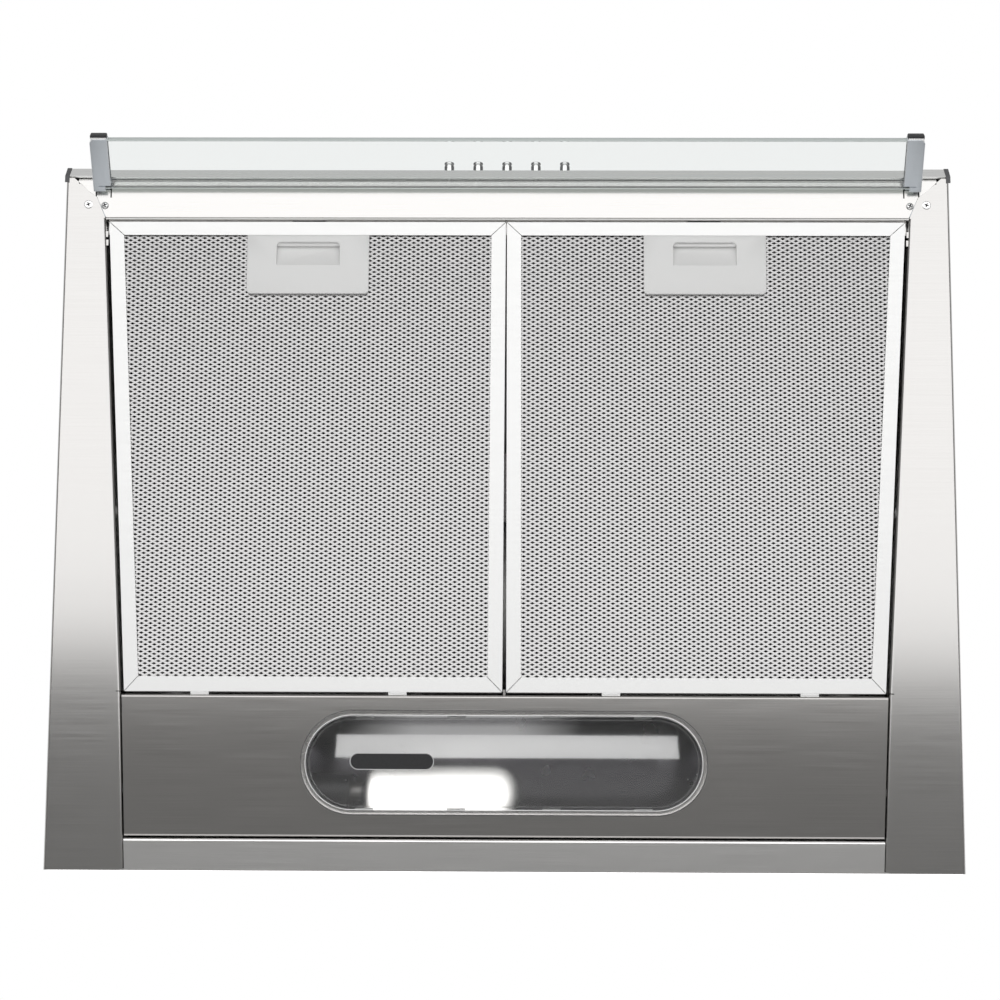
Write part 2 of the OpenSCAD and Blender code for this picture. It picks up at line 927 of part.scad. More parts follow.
module lamp_bulb_cap() {
    color([0.8, 0.7, 0.45]) rod_x(7, -122, bulb_x0 - 4, bulb_y, bulb_z);
}

// ---------- blower ----------

// radius of the scroll at a turn angle counted from straight up, through the front
function scroll_r(a) = scroll_in + (scroll_out - scroll_in) * a / 270;

// outline of the scroll in Y and Z, grown by g; it ends in an upright outlet
function scroll_path(g) = concat(
    [for (a = [0:10:270]) let (r = scroll_r(a) + g)
        [wheel_y - r * sin(a), wheel_z + r * cos(a)]],
    [
        [wheel_y + scroll_out + g, back_h - sheet],
        [wheel_y + 9 - g, back_h - sheet],
        [wheel_y + 9 - g, wheel_z + scroll_in + g + 2]
    ]
);

module blower_housing() {
    color(grey_plastic) difference() {
        union() {
            along_x(-scroll_half, scroll_half) polygon(scroll_path(scroll_wall));
            translate([0, outlet_y, back_h - sheet - 2.4]) cylinder(r = outlet_r + 4, h = 2.4);
        }
        along_x(-scroll_half + scroll_wall, scroll_half - scroll_wall) union() {
            polygon(scroll_path(0));
            translate([wheel_y + 9, back_h - 8]) square([scroll_out - 9, 10]);
        }
        rod_x(inlet_r, -scroll_half - 1, scroll_half + 1, wheel_y, wheel_z);
    }
}

// flared inlet rings on both sides of the scroll
module inlet_rings() {
    color(grey_plastic) both_sides()
        translate([scroll_half, wheel_y, wheel_z]) rotate([0, 90, 0])
            rotate_extrude() difference() {
                translate([inlet_r - 4, -2]) square([12, 7]);
                translate([inlet_r - 5.5, 3]) circle(r = 5.5);
                translate([inlet_r, -3]) square([9, 3]);
                translate([inlet_r + 2, 2]) square([9, 6]);
                translate([inlet_r - 5, -3]) square([2.5, 8]);
            }
}

motor_r = 23;
motor_x0 = -54;
motor_x1 = -8;

module motor() {
    color(satin_grey) difference() {
        union() {
            translate([motor_x0, wheel_y, wheel_z]) rotate([0, 90, 0])
                rotate_extrude() polygon([
                    [0, 0],
                    [motor_r - 6, 0],
                    [motor_r, 5],
                    [motor_r, 38],
                    [motor_r - 5, motor_x1 - motor_x0 - 3],
                    [8, motor_x1 - motor_x0 - 3],
                    [8, motor_x1 - motor_x0],
                    [0, motor_x1 - motor_x0]
                ]);
            rod_x(motor_r + 1.5, -44, -24, wheel_y, wheel_z);
        }
        rod_x(shaft_d / 2 + running, motor_x0 - 1, motor_x1 + 1, wheel_y, wheel_z);
    }
}

// three-armed bracket that holds the motor in the left inlet
module motor_bracket() {
    outer = inlet_r + 12;
    color(satin_grey) difference() {
        union() {
            rod_x(outer, -scroll_half - 7, -scroll_half - 5, wheel_y, wheel_z);
            rod_x(16, -scroll_half - 7, motor_x0, wheel_y, wheel_z);
            // feet that stand on the scroll's side, outside the inlet ring
            translate([-scroll_half - 6, wheel_y, wheel_z]) for (a = [90, 210, 330])
                rotate([a, 0, 0]) rod_x(1.8, 0, 6, outer - 2, 0);
        }
        difference() {
            rod_x(outer - 7, -scroll_half - 9, motor_x0 + 1, wheel_y, wheel_z);
            rod_x(16, -scroll_half - 10, motor_x0 + 2, wheel_y, wheel_z);
            translate([-scroll_half - 6, wheel_y, wheel_z]) for (a = [90, 210, 330])
                rotate([a, 0, 0]) translate([-2, 10, -4]) cube([4, 38, 8]);
        }
        rod_x(5, -scroll_half - 9, motor_x0 + 1, wheel_y, wheel_z);
    }
}

module motor_shaft() {
    color(chrome) rod_x(shaft_d / 2, motor_x0 - 2, 12, wheel_y, wheel_z);
}

wheel_half = 49;
blade_depth = 7;

// middle disc and hub of the wheel, which carry the blades
module impeller_hub() {
    color(dark_plastic) translate([0, wheel_y, wheel_z]) rotate([0, 90, 0]) difference() {
        union() {
            translate([0, 0, -1.2]) cylinder(r = wheel_d / 2 - blade_depth + 0.35, h = 2.4);
            translate([0, 0, -5]) cylinder(r = 8, h = 17);
        }
        translate([0, 0, -8]) cylinder(r = shaft_d / 2, h = 24);
    }
}

// curved-forward blades of the double-inlet drum, with a ring at each end and the middle
module impeller() {
    r = wheel_d / 2;
    color(dark_plastic) translate([0, wheel_y, wheel_z]) rotate([0, 90, 0]) {
        translate([0, 0, -1.2]) difference() {
            cylinder(r = r - 0.6, h = 2.4);
            translate([0, 0, -1]) cylinder(r = r - blade_depth + 0.4, h = 5);
        }
        for (z = [-wheel_half, wheel_half - 2])
            translate([0, 0, z]) difference() {
                cylinder(r = r, h = 2);
                translate([0, 0, -1]) cylinder(r = r - blade_depth, h = 4);
            }
        translate([0, 0, -wheel_half + 1]) linear_extrude(2 * wheel_half - 2)
            for (i = [0:blade_n - 1]) rotate(i * 360 / blade_n)
                polygon([
                    [r - blade_depth + 0.4, 0],
                    [r - 3.6, 0.5],
                    [r - 0.6, 3],
                    [r - 1.3, 3.5],
                    [r - 4.2, 1.5],
                    [r - blade_depth + 0.4, 1]
                ]);
    }
}

// ring that the collar stands in, held to the top by four screws
module outlet_flange() {
    color(dark_plastic) translate([0, outlet_y, back_h]) difference() {
        cylinder(r = outlet_r + 10, h = 2);
        translate([0, 0, -1]) cylinder(r = outlet_r - 0.5, h = 4);
        for (a = [45:90:315])
            rotate(a) translate([outlet_r + 5.5, 0, -1]) cylinder(d = 4, h = 4);
    }
}

// spigot on the top, with a ledge that the flaps close on
module outlet_collar() {
    color(dark_plastic) translate([0, outlet_y, 0]) difference() {
        union() {
            translate([0, 0, back_h]) cylinder(r = outlet_r - 0.6, h = 3);
            translate([0, 0, back_h + 2]) cylinder(r = outlet_r, h = collar_top - back_h - 2);
        }
        difference() {
            translate([0, 0, back_h - 1]) cylinder(r = outlet_r - collar_wall, h = collar_top);
            difference() {
                translate([0, 0, flap_z - 4.4]) cylinder(r = outlet_r, h = 2);
                translate([0, 0, flap_z - 5]) cylinder(r = outlet_r - 5, h = 3);
            }
        }
        rod_x(flap_pin_d / 2, -outlet_r - 1, outlet_r + 1, 0, flap_z);
    }
}

module flap_pin() {
    color(chrome) rod_x(flap_pin_d / 2, -outlet_r + 0.3, outlet_r - 0.3, outlet_y, flap_z);
}

// half-round flap with two knuckles on the common pin; knuckles start at the given X places
module flap(knuckles) {
    difference() {
        union() {
            translate([0, 0, -2]) linear_extrude(1.2) difference() {
                circle(r = flap_r);
                translate([-flap_r - 1, -flap_r - 1]) square([2 * flap_r + 2, flap_r + 4.2]);
            }
            for (x = knuckles) {
                rod_x(2.7, x, x + 14, 0, 0);
                translate([x, 0, -2]) cube([14, 5, 1.2]);
            }
            for (x = [-24, 0, 24]) translate([x - 0.8, 7, -1]) cube([1.6, 36, 2.4]);
        }
        rod_x(flap_pin_d / 2 + running, -flap_r, flap_r, 0, 0);
    }
}

module flap_back() {
    color(grey_plastic) translate([0, outlet_y, flap_z]) flap([-46, 16]);
}

module flap_front() {
    color(grey_plastic) translate([0, outlet_y, flap_z]) mirror([0, 1, 0]) flap([-30, 32]);
}

// ---------- electrical pieces ----------

module terminal_box() {
    color(grey_plastic) translate([gland_x - 40, gland_y - 25, back_h - sheet - 34]) difference() {
        union() {
            translate([0, 0, 2]) cube([80, 50, 32]);
            translate([-1, -1, 0]) cube([82, 52, 2.4]);
        }
        translate([2, 2, 2.4]) cube([76, 46, 29.6]);
        translate([40, 25, 20]) cylinder(d = 12, h = 20);
    }
}

// cable gland: threaded body through the cover, six-sided nut and a sleeve
module cable_gland() {
    color(black_plastic) translate([gland_x, gland_y, 0]) difference() {
        union() {
            translate([0, 0, back_h]) cylinder(d = 21, h = 6, $fn = 6);
            translate([0, 0, back_h + 5.9]) cylinder(d = 14, h = 9);
            translate([0, 0, back_h - 8]) cylinder(d = 11.8, h = 9);
        }
        translate([0, 0, back_h - 9]) cylinder(d = 8, h = 30);
    }
}

// one countersunk and one pan-head screw at each front corner, with crossed slots
module corner_screws() {
    color(chrome) both_sides() {
        translate([corner_screw[0][0], corner_screw[0][1], 0]) difference() {
            union() {
                translate([0, 0, -0.5]) cylinder(d = 5.8, h = 0.5);
                cylinder(d = 2.6, h = 5);
            }
            cross_slot();
        }
        translate([corner_screw[1][0], corner_screw[1][1], 0]) difference() {
            union() {
                translate([0, 0, -1.6]) cylinder(d = 5, h = 1.6);
                cylinder(d = 2.6, h = 5);
            }
            translate([0, 0, -1.1]) cross_slot();
        }
    }
}

module cross_slot() {
    for (a = [0, 90]) rotate(a) translate([-1.4, -0.35, -1.6]) cube([2.8, 0.7, 1.9]);
}

side_panel_left();
side_panel_right();
top_plate();
slope_plate();
front_plate();
back_panel();
front_rail();
fascia();
fascia_cap_left();
fascia_cap_right();
lamp_panel();
lamp_lens();
lamp_housing();
lamp_reflector();
lamp_holder();
lamp_bulb();
lamp_bulb_cap();
switch_block();
button_1();
button_2();
button_3();
button_4();
button_5();
hinge_block_left();
hinge_block_right();
visor_pins();
visor_glass();
visor_bracket_left();
visor_bracket_right();
visor_tips();
filter_frame_left();
filter_frame_right();
filter_mesh_left();
filter_mesh_right();
filter_foil_left();
filter_foil_right();
filter_handle_left();
filter_handle_right();
latch_left();
latch_right();
blower_housing();
inlet_rings();
motor();
motor_bracket();
motor_shaft();
impeller_hub();
impeller();
outlet_flange();
outlet_collar();
flap_front();
flap_back();
flap_pin();
terminal_box();
cable_gland();
corner_screws();
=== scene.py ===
# %% [markdown]
# # A range hood, dressed on its solid model
# The solids of this hood were built first, in their real sizes. Here they are loaded as a
# fixed frame, and every visible piece is either given its finish or replaced by a finer
# mesh in the same place. Sizes are in millimetres and are turned into metres by MM.

# %% Load the solids
import math

import bmesh
import bpy
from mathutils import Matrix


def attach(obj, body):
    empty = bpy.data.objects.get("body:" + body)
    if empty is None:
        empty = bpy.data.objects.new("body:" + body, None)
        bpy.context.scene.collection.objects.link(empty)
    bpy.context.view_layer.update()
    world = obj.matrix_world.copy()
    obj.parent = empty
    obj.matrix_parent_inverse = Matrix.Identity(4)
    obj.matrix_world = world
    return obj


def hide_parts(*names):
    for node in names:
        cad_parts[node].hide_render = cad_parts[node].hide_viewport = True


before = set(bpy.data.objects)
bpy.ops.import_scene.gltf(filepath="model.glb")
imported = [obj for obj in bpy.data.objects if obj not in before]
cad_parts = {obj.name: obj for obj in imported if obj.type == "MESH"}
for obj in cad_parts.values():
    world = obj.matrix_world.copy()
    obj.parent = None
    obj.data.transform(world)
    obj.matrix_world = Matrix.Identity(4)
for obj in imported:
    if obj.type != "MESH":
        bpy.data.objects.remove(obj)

MM = 0.001
WELD = 0.02 * MM  # points closer than this become one
bpy.ops.object.select_all(action="DESELECT")
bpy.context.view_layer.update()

# %% [markdown]
# ## The camera
# The photograph was taken from below, almost straight up, with a long lens. The place and
# the turn below were worked out from the corners of the underside: 1.64 m under it, and
# leaning 9 degrees towards the front.

# %% Camera
CAMERA_PLACE = (20.29 * MM, 24.79 * MM, -1636.65 * MM)
CAMERA_TURN = (189.334, -0.78, -0.295)

bpy.ops.object.camera_add(
    location=CAMERA_PLACE, rotation=[math.radians(a) for a in CAMERA_TURN])
camera = bpy.context.object
camera.name = "camera"
camera.data.lens = 90
camera.data.sensor_width = 36
camera.data.clip_start = 0.05
bpy.context.scene.camera = camera
print("camera at", [round(v / MM) for v in camera.location], "mm")

# %% [markdown]
# ## Helpers for modelling
# Every new piece starts as a primitive at its real size, is shaped in edit mode, and gets
# its small roundings from a Bevel modifier that is applied at once. The helpers below only
# save typing: they add a block, pick vertices, edges or faces by their place, and hand a
# piece over to the body that carries it.


# %% Blocks, picks and hand-over
def only(obj):
    """Makes obj the one selected and active object."""
    bpy.ops.object.select_all(action="DESELECT")
    obj.select_set(True)
    bpy.context.view_layer.objects.active = obj
    return obj


def apply_place(obj):
    """Works the piece's place, turn and size into its mesh."""
    only(obj)
    bpy.ops.object.transform_apply(location=True, rotation=True, scale=True)
    return obj


def add_block(name, low, high):
    """A box between two corners, in millimetres."""
    size = [(b - a) * MM for a, b in zip(low, high)]
    middle = [(a + b) / 2 * MM for a, b in zip(low, high)]
    bpy.ops.object.select_all(action="DESELECT")
    bpy.ops.mesh.primitive_cube_add(size=1, location=middle)
    block = bpy.context.object
    block.name = name
    block.scale = size
    return apply_place(block)


def edit(obj, pick=None, mode="VERT"):
    """Opens obj in edit mode with the elements picked for which pick(place in mm) is true."""
    only(obj)
    bpy.ops.object.mode_set(mode="EDIT")
    bpy.ops.mesh.select_mode(type=mode)
    bpy.ops.mesh.select_all(action="DESELECT")
    if pick is None:
        bpy.ops.mesh.select_all(action="SELECT")
        return
    mesh = bmesh.from_edit_mesh(obj.data)
    if mode == "VERT":
        for v in mesh.verts:
            v.select_set(bool(pick(v.co / MM)))
    elif mode == "EDGE":
        for e in mesh.edges:
            e.select_set(all(pick(v.co / MM) for v in e.verts))
    else:
        for f in mesh.faces:
            f.select_set(bool(pick(f.calc_center_median() / MM)))
    mesh.select_flush_mode()
    bmesh.update_edit_mesh(obj.data)


def done():
    bpy.ops.object.mode_set(mode="OBJECT")


def move(x, y, z):
    bpy.ops.transform.translate(value=(x * MM, y * MM, z * MM))


def outwards():
    """Turns every face outwards and leaves edit mode."""
    bpy.ops.mesh.select_all(action="SELECT")
    bpy.ops.mesh.normals_make_consistent(inside=False)
    done()


UPRIGHT = 5  # an edge that rises by more than this is an upright one


def bevel_uprights(obj, pick, width, segments):
    """Bevels the upright edges whose two ends are picked; width in millimetres."""
    edit(obj, pick, "EDGE")
    mesh = bmesh.from_edit_mesh(obj.data)
    for edge in mesh.edges:
        first, second = edge.verts
        upright = abs(first.co.z - second.co.z) > UPRIGHT * MM
        edge.select_set(edge.select and upright)
    bmesh.update_edit_mesh(obj.data)
    bpy.ops.mesh.bevel(offset=width * MM, segments=segments, affect="EDGES")
    done()


def round_edges(obj, width, segments=3, angle=30):
    """Rounds every edge sharper than angle; width in millimetres."""
    only(obj)
    bevel = obj.modifiers.new("round", "BEVEL")
    bevel.width = width * MM
    bevel.segments = segments
    bevel.limit_method = "ANGLE"
    bevel.angle_limit = math.radians(angle)
    bevel.harden_normals = False
    bpy.ops.object.modifier_apply(modifier="round")
    bpy.ops.object.shade_smooth_by_angle(angle=math.radians(35))
    return obj


def cut_away(obj, cutter):
    """Takes the cutter's volume out of obj and deletes the cutter."""
    only(obj)
    cut = obj.modifiers.new("cut", "BOOLEAN")
    cut.operation = "DIFFERENCE"
    cut.solver = "EXACT"
    cut.object = cutter
    bpy.ops.object.modifier_apply(modifier="cut")
    only(cutter)
    bpy.ops.object.delete()
    return only(obj)


def join(name, pieces):
    only(pieces[0])
    for piece in pieces[1:]:
        piece.select_set(True)
    bpy.ops.object.join()
    joined = bpy.context.object
    joined.name = name
    return joined


def mirrored(obj, name):
    """A copy on the other side of X = 0, with its own mesh, faces turned outwards."""
    only(obj)
    bpy.ops.object.duplicate(linked=False)
    twin = bpy.context.object
    twin.name = name
    edit(twin)
    bpy.ops.transform.mirror(
        constraint_axis=(True, False, False), orient_type="GLOBAL",
        center_override=(0, 0, 0))
    bpy.ops.mesh.flip_normals()
    done()
    return twin


def hand_over(obj, body, finish, nodes):
    """The piece is finished: it gets its finish, rides on its body and stands for nodes."""
    apply_place(obj)
    obj.data.materials.clear()
    obj.data.materials.append(finish)
    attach(obj, body)
    if nodes:
        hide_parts(*nodes)
    print(obj.name, "-", len(obj.data.polygons), "faces")


# %% [markdown]
# ## Helpers for finishes
# A finish is a Principled shader whose roughness and bump come from noise on the piece's
# own coordinates. Stretching the noise along X gives the grain of brushed sheet; leaving it
# even gives moulded plastic or rolled foil. Numbers that are the same all over go straight
# on the shader's sockets.


# %% Finish helpers
def shader_of(finish):
    return finish.node_tree.nodes["Principled BSDF"]


def new_finish(name, colour, metallic=0.0, roughness=0.5, **sockets):
    finish = bpy.data.materials.new(name)
    finish.use_nodes = True
    shader = shader_of(finish)
    shader.inputs["Base Color"].default_value = (*colour, 1)
    shader.inputs["Metallic"].default_value = metallic
    shader.inputs["Roughness"].default_value = roughness
    for socket, value in sockets.items():
        shader.inputs[socket.replace("_", " ")].default_value = value
    return finish


def grain(finish, stretch, detail=3.0):
    """Noise on object coordinates; stretch is features per metre along X, Y and Z."""
    tree = finish.node_tree
    place = tree.nodes.new("ShaderNodeTexCoord")
    mapping = tree.nodes.new("ShaderNodeMapping")
    mapping.inputs["Scale"].default_value = stretch
    noise = tree.nodes.new("ShaderNodeTexNoise")
    noise.inputs["Scale"].default_value = 1.0
    noise.inputs["Detail"].default_value = detail
    tree.links.new(place.outputs["Object"], mapping.inputs["Vector"])
    tree.links.new(mapping.outputs["Vector"], noise.inputs["Vector"])
    return noise.outputs["Fac"]


def even(finish, fineness, detail=3.0):
    """Noise without direction, with fineness features per metre."""
    return grain(finish, (fineness, fineness, fineness), detail)


def spread(finish, value, low, high):
    """Runs from low to high while the value, which is noise as a rule, goes 0.3 to 0.7."""
    tree = finish.node_tree
    span = tree.nodes.new("ShaderNodeMapRange")
    span.inputs["From Min"].default_value = 0.3
    span.inputs["From Max"].default_value = 0.7
    span.inputs["To Min"].default_value = low
    span.inputs["To Max"].default_value = high
    tree.links.new(value, span.inputs["Value"])
    return span.outputs["Result"]


def computed(owner, operation, first, second=0.0):
    """Arithmetic in a finish or world; second is a number or another value."""
    tree = owner.node_tree
    node = tree.nodes.new("ShaderNodeMath")
    node.operation = operation
    tree.links.new(first, node.inputs[0])
    if isinstance(second, bpy.types.NodeSocket):
        tree.links.new(second, node.inputs[1])
    else:
        node.inputs[1].default_value = second
    return node.outputs[0]


def coordinate(finish, kind, axis):
    """One axis of the piece's own coordinates; kind is Object or Normal."""
    tree = finish.node_tree
    source = tree.nodes.new("ShaderNodeTexCoord")
    parts = tree.nodes.new("ShaderNodeSeparateXYZ")
    tree.links.new(source.outputs[kind], parts.inputs["Vector"])
    return parts.outputs[axis]


def facing(finish, axis):
    """How much the surface faces along an axis of its piece, either way: 0 to 1."""
    return computed(finish, "ABSOLUTE", coordinate(finish, "Normal", axis))


def rough_from(finish, value, low, high):
    rough = spread(finish, value, low, high)
    finish.node_tree.links.new(rough, shader_of(finish).inputs["Roughness"])


def even_rough(finish, fineness, low, high, detail=3.0):
    """Roughness that varies alike in all directions."""
    spots = even(finish, fineness, detail)
    rough_from(finish, spots, low, high)
    return spots


def tint_from(finish, value, dark, light):
    """Lets the colour run between two tones."""
    tree = finish.node_tree
    mix = tree.nodes.new("ShaderNodeMix")
    mix.data_type = "RGBA"
    mix.inputs["A"].default_value = (*dark, 1)
    mix.inputs["B"].default_value = (*light, 1)
    tree.links.new(spread(finish, value, 0, 1), mix.inputs["Factor"])
    tree.links.new(mix.outputs["Result"], shader_of(finish).inputs["Base Color"])


def glow_from(finish, value, colour):
    """Lets the piece shine by itself, as strongly as the value says."""
    shader = shader_of(finish)
    shader.inputs["Emission Color"].default_value = (*colour, 1)
    finish.node_tree.links.new(value, shader.inputs["Emission Strength"])


def bump_from(finish, value, height, strength):
    """Height in millimetres."""
    tree = finish.node_tree
    bump = tree.nodes.new("ShaderNodeBump")
    bump.inputs["Strength"].default_value = strength
    bump.inputs["Distance"].default_value = height * MM
    tree.links.new(value, bump.inputs["Height"])
    tree.links.new(bump.outputs["Normal"], shader_of(finish).inputs["Normal"])


def dress(finish, *nodes):
    """Puts the finish on CAD nodes, whose meshes stay as they are."""
    for name in nodes:
        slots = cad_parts[name].data.materials
        slots.clear()
        slots.append(finish)


# %% [markdown]
# ## Metal finishes
# The casing is stainless sheet, brushed along its width. Seen from below it mirrors what
# lies under it, softly: bright where the light is, dark towards the wall. So the metal is
# fully metallic with a middle roughness, and the grain only varies that roughness by a
# little and lifts the surface by a few thousandths of a millimetre.


# %% Brushed steel
def brushed(name, dark, light, low, high):
    steel = new_finish(name, light, 1.0, (low + high) / 2)
    lines = grain(steel, (16, 2600, 2600), 3)
    rough_from(steel, lines, low, high)
    tint_from(steel, lines, dark, light)
    bump_from(steel, lines, 0.002, 0.35)
    return steel


brushed_steel = brushed("brushed_steel", (0.555, 0.545, 0.535), (0.59, 0.58, 0.57),
                        0.14, 0.21)
rail_steel_painted_highlight = brushed("rail_steel_painted_highlight", (0.66, 0.65, 0.64), (0.69, 0.68, 0.67), 0.2, 0.28)
# painted highlight: the rail's two folds, where it faces forwards and back, are painted almost
# white
tint_from(rail_steel_painted_highlight, facing(rail_steel_painted_highlight, "Y"), (0.655, 0.645, 0.635), (1.0, 0.99, 0.975))
# painted light: the back panel's steel is a paler copy of the casing's, so that the rear
# strip, which mirrors the dim floor, shows lighter
back_steel_painted_light = brushed("back_steel_painted_light", (0.93, 0.92, 0.91), (0.97, 0.96, 0.95), 0.18, 0.26)
dark_steel = brushed("lamp_panel_steel", (0.50, 0.487, 0.475), (0.55, 0.537, 0.525),
                     0.12, 0.18)

dress(brushed_steel, "side_panel_left", "side_panel_right", "top_plate", "slope_plate",
      "front_plate")
dress(rail_steel_painted_highlight, "front_rail")
dress(back_steel_painted_light, "back_panel")
dress(dark_steel, "lamp_panel")
print("steel:", brushed_steel.name, rail_steel_painted_highlight.name, dark_steel.name)

# %% Aluminium, chrome and zinc
anodised = new_finish("anodised_aluminium", (0.78, 0.78, 0.77), 1.0, 0.28)
lines = grain(anodised, (4, 700, 700), 3)
rough_from(anodised, lines, 0.22, 0.34)
bump_from(anodised, lines, 0.003, 0.4)

rolled_aluminium = new_finish("rolled_aluminium", (0.97, 0.97, 0.965), 0.22, 0.36)
lines = grain(rolled_aluminium, (30, 600, 600), 3)
rough_from(rolled_aluminium, lines, 0.32, 0.46)
bump_from(rolled_aluminium, lines, 0.004, 0.4)

mesh_aluminium = new_finish("expanded_mesh", (0.52, 0.515, 0.515), 1.0, 0.26)
even_rough(mesh_aluminium, 500, 0.2, 0.32, 2)
# painted shade: the inner layers are a darker copy of the face's aluminium, for the shade they
# lie in
inner_aluminium_painted_shade = new_finish("inner_layers_painted_shade", (0.42, 0.42, 0.42), 1.0, 0.4)
even_rough(inner_aluminium_painted_shade, 500, 0.34, 0.5, 2)

polished = new_finish("polished_chrome", (0.86, 0.86, 0.87), 1.0, 0.08)
even_rough(polished, 60, 0.06, 0.12, 2)

# painted reflection: the caps are painted pale in their middle and dark where they face
# sideways, for the bright floor and the dark room that they would mirror
cap_chrome_painted_reflection = new_finish("cap_chrome_painted_reflection", (0.86, 0.86, 0.87), 1.0, 0.08)
even_rough(cap_chrome_painted_reflection, 60, 0.06, 0.12, 2)
tint_from(cap_chrome_painted_reflection, facing(cap_chrome_painted_reflection, "X"), (0.9, 0.9, 0.9), (0.05, 0.05, 0.055))

# screw heads: painted highlight and shade, bright where they face down, dark on their flanks
# and in the recess
screw_chrome_painted_shade = new_finish("screw_chrome_painted_shade", (0.8, 0.8, 0.81), 1.0, 0.2)
even_rough(screw_chrome_painted_shade, 300, 0.16, 0.28, 2)
tint_from(screw_chrome_painted_shade, facing(screw_chrome_painted_shade, "Z"), (0.30, 0.30, 0.31), (0.98, 0.98, 0.98))

satin_zinc_painted_sheen = new_finish("satin_zinc_painted_sheen", (0.60, 0.635, 0.67), 0.75, 0.38)
spots = even_rough(satin_zinc_painted_sheen, 900, 0.34, 0.46)
bump_from(satin_zinc_painted_sheen, spots, 0.01, 0.5)
# painted highlight: the zinc is painted pale where it faces sideways
tint_from(satin_zinc_painted_sheen, facing(satin_zinc_painted_sheen, "X"), (0.55, 0.583, 0.617), (0.90, 0.92, 0.94))
# painted highlight: the pale piece behind each black tip shows as a bright line along it
nose_painted_highlight = new_finish("nose_painted_highlight", (0.97, 0.97, 0.97), 0.2, 0.3)
even_rough(nose_painted_highlight, 300, 0.26, 0.4)

brass = new_finish("nickelled_brass", (0.34, 0.33, 0.32), 1.0, 0.4)
even_rough(brass, 200, 0.34, 0.5)

dress(anodised, "fascia")
dress(rolled_aluminium, "filter_frame_left", "filter_frame_right")
tray_steel = new_finish("lamp_tray_steel", (0.20, 0.195, 0.21), 1.0, 0.14)
even_rough(tray_steel, 12, 0.10, 0.18, 2)
# the strip's level half is white; a painted glow stands in for the bulb's light that it
# catches all along
reflector_white_painted_glow = new_finish("reflector_white_painted_glow", (0.98, 0.98, 0.98), 0.0, 0.4,
                             Emission_Color=(1, 1, 1, 1), Emission_Strength=0.22)
even_rough(reflector_white_painted_glow, 40, 0.34, 0.46, 2)
# its sloping half is bare steel; a painted glow, strongest over the bulb and fading along X,
# stands in for the bulb's light on it
BULB_MIDDLE, GLOW_REACH = -27, 115
slope_steel_painted_glow = new_finish("reflector_slope_painted_glow", (0.22, 0.217, 0.23), 0.5, 0.4)
even_rough(slope_steel_painted_glow, 12, 0.34, 0.46, 2)
along = coordinate(slope_steel_painted_glow, "Object", "X")
beside_bulb = computed(slope_steel_painted_glow, "ABSOLUTE",
                       computed(slope_steel_painted_glow, "ADD", along, -BULB_MIDDLE * MM))
distance = computed(slope_steel_painted_glow, "MULTIPLY", beside_bulb, 1 / (GLOW_REACH * MM))
glow_from(slope_steel_painted_glow, spread(slope_steel_painted_glow, distance, 0.30, 0.0), (1, 1, 1))
dress(tray_steel, "lamp_housing")
dress(satin_zinc_painted_sheen, "hinge_block_left", "hinge_block_right", "motor", "motor_bracket")
dress(polished, "visor_pins", "flap_pin", "motor_shaft")
dress(brass, "lamp_bulb_cap")

# %% [markdown]
# ## Plastics
# Moulded pieces have no grain direction: an even, fine noise breaks the gloss a little, and
# a slower one keeps large faces from looking painted.


# %% Moulded plastics
def moulded(name, colour, low, high, texture=900):
    plastic = new_finish(name, colour, 0.0, (low + high) / 2)
    even_rough(plastic, 14, low, high, 2)
    bump_from(plastic, even(plastic, texture, 2), 0.012, 0.35)
    return plastic


handle_plastic = moulded("handle_plastic", (0.745, 0.745, 0.74), 0.38, 0.48)
housing_plastic = moulded("housing_plastic", (0.70, 0.70, 0.68), 0.42, 0.55)
cap_plastic = moulded("cap_plastic", (0.085, 0.085, 0.09), 0.38, 0.5)
black_plastic = moulded("black_plastic", (0.02, 0.02, 0.022), 0.35, 0.48)
duct_plastic = moulded("duct_plastic", (0.045, 0.045, 0.05), 0.45, 0.6, 600)

dress(housing_plastic, "blower_housing", "inlet_rings", "flap_front", "flap_back",
      "terminal_box")
dress(cap_plastic, "fascia_cap_left", "fascia_cap_right")
dress(black_plastic, "switch_block", "lamp_holder", "cable_gland", "visor_tips")
dress(duct_plastic, "outlet_collar", "outlet_flange", "impeller", "impeller_hub")

# %% [markdown]
# ## Glass and clear plastic
# Both are real solids with two faces, so a transmitting shader with the right index bends
# and reflects light by itself. The visor's pane has a faint green-grey body colour, which
# shows most at its edges; the lens is clear.

# %% Clear finishes
pane_glass = new_finish("pane_glass", (0.855, 0.875, 0.868), 0.0, 0.0, IOR=1.5,
                        Transmission_Weight=1.0)
even_rough(pane_glass, 25, 0.0, 0.02)
lens_clear = new_finish("lens_clear", (1.0, 1.0, 1.0), 0.0, 0.0, IOR=1.46,
                        Transmission_Weight=1.0)
even_rough(lens_clear, 40, 0.22, 0.28)
pad_plastic = new_finish("pad_plastic", (0.02, 0.02, 0.022), 0.0, 0.4)
even_rough(pad_plastic, 500, 0.4, 0.6)
bump_from(pad_plastic, even(pad_plastic, 420), 0.05, 0.5)
clip_plastic = moulded("clip_plastic", (0.62, 0.62, 0.62), 0.25, 0.4)
# painted light: the pale bead stands in for a highlight on the lens's rim, and the dark edge
# plastic, also the bulb's neck, for shade where the lens meets the panel
bead_painted_highlight = moulded("bead_painted_highlight", (0.93, 0.93, 0.93), 0.25, 0.4)
edge_plastic = moulded("edge_plastic", (0.09, 0.09, 0.095), 0.25, 0.4)
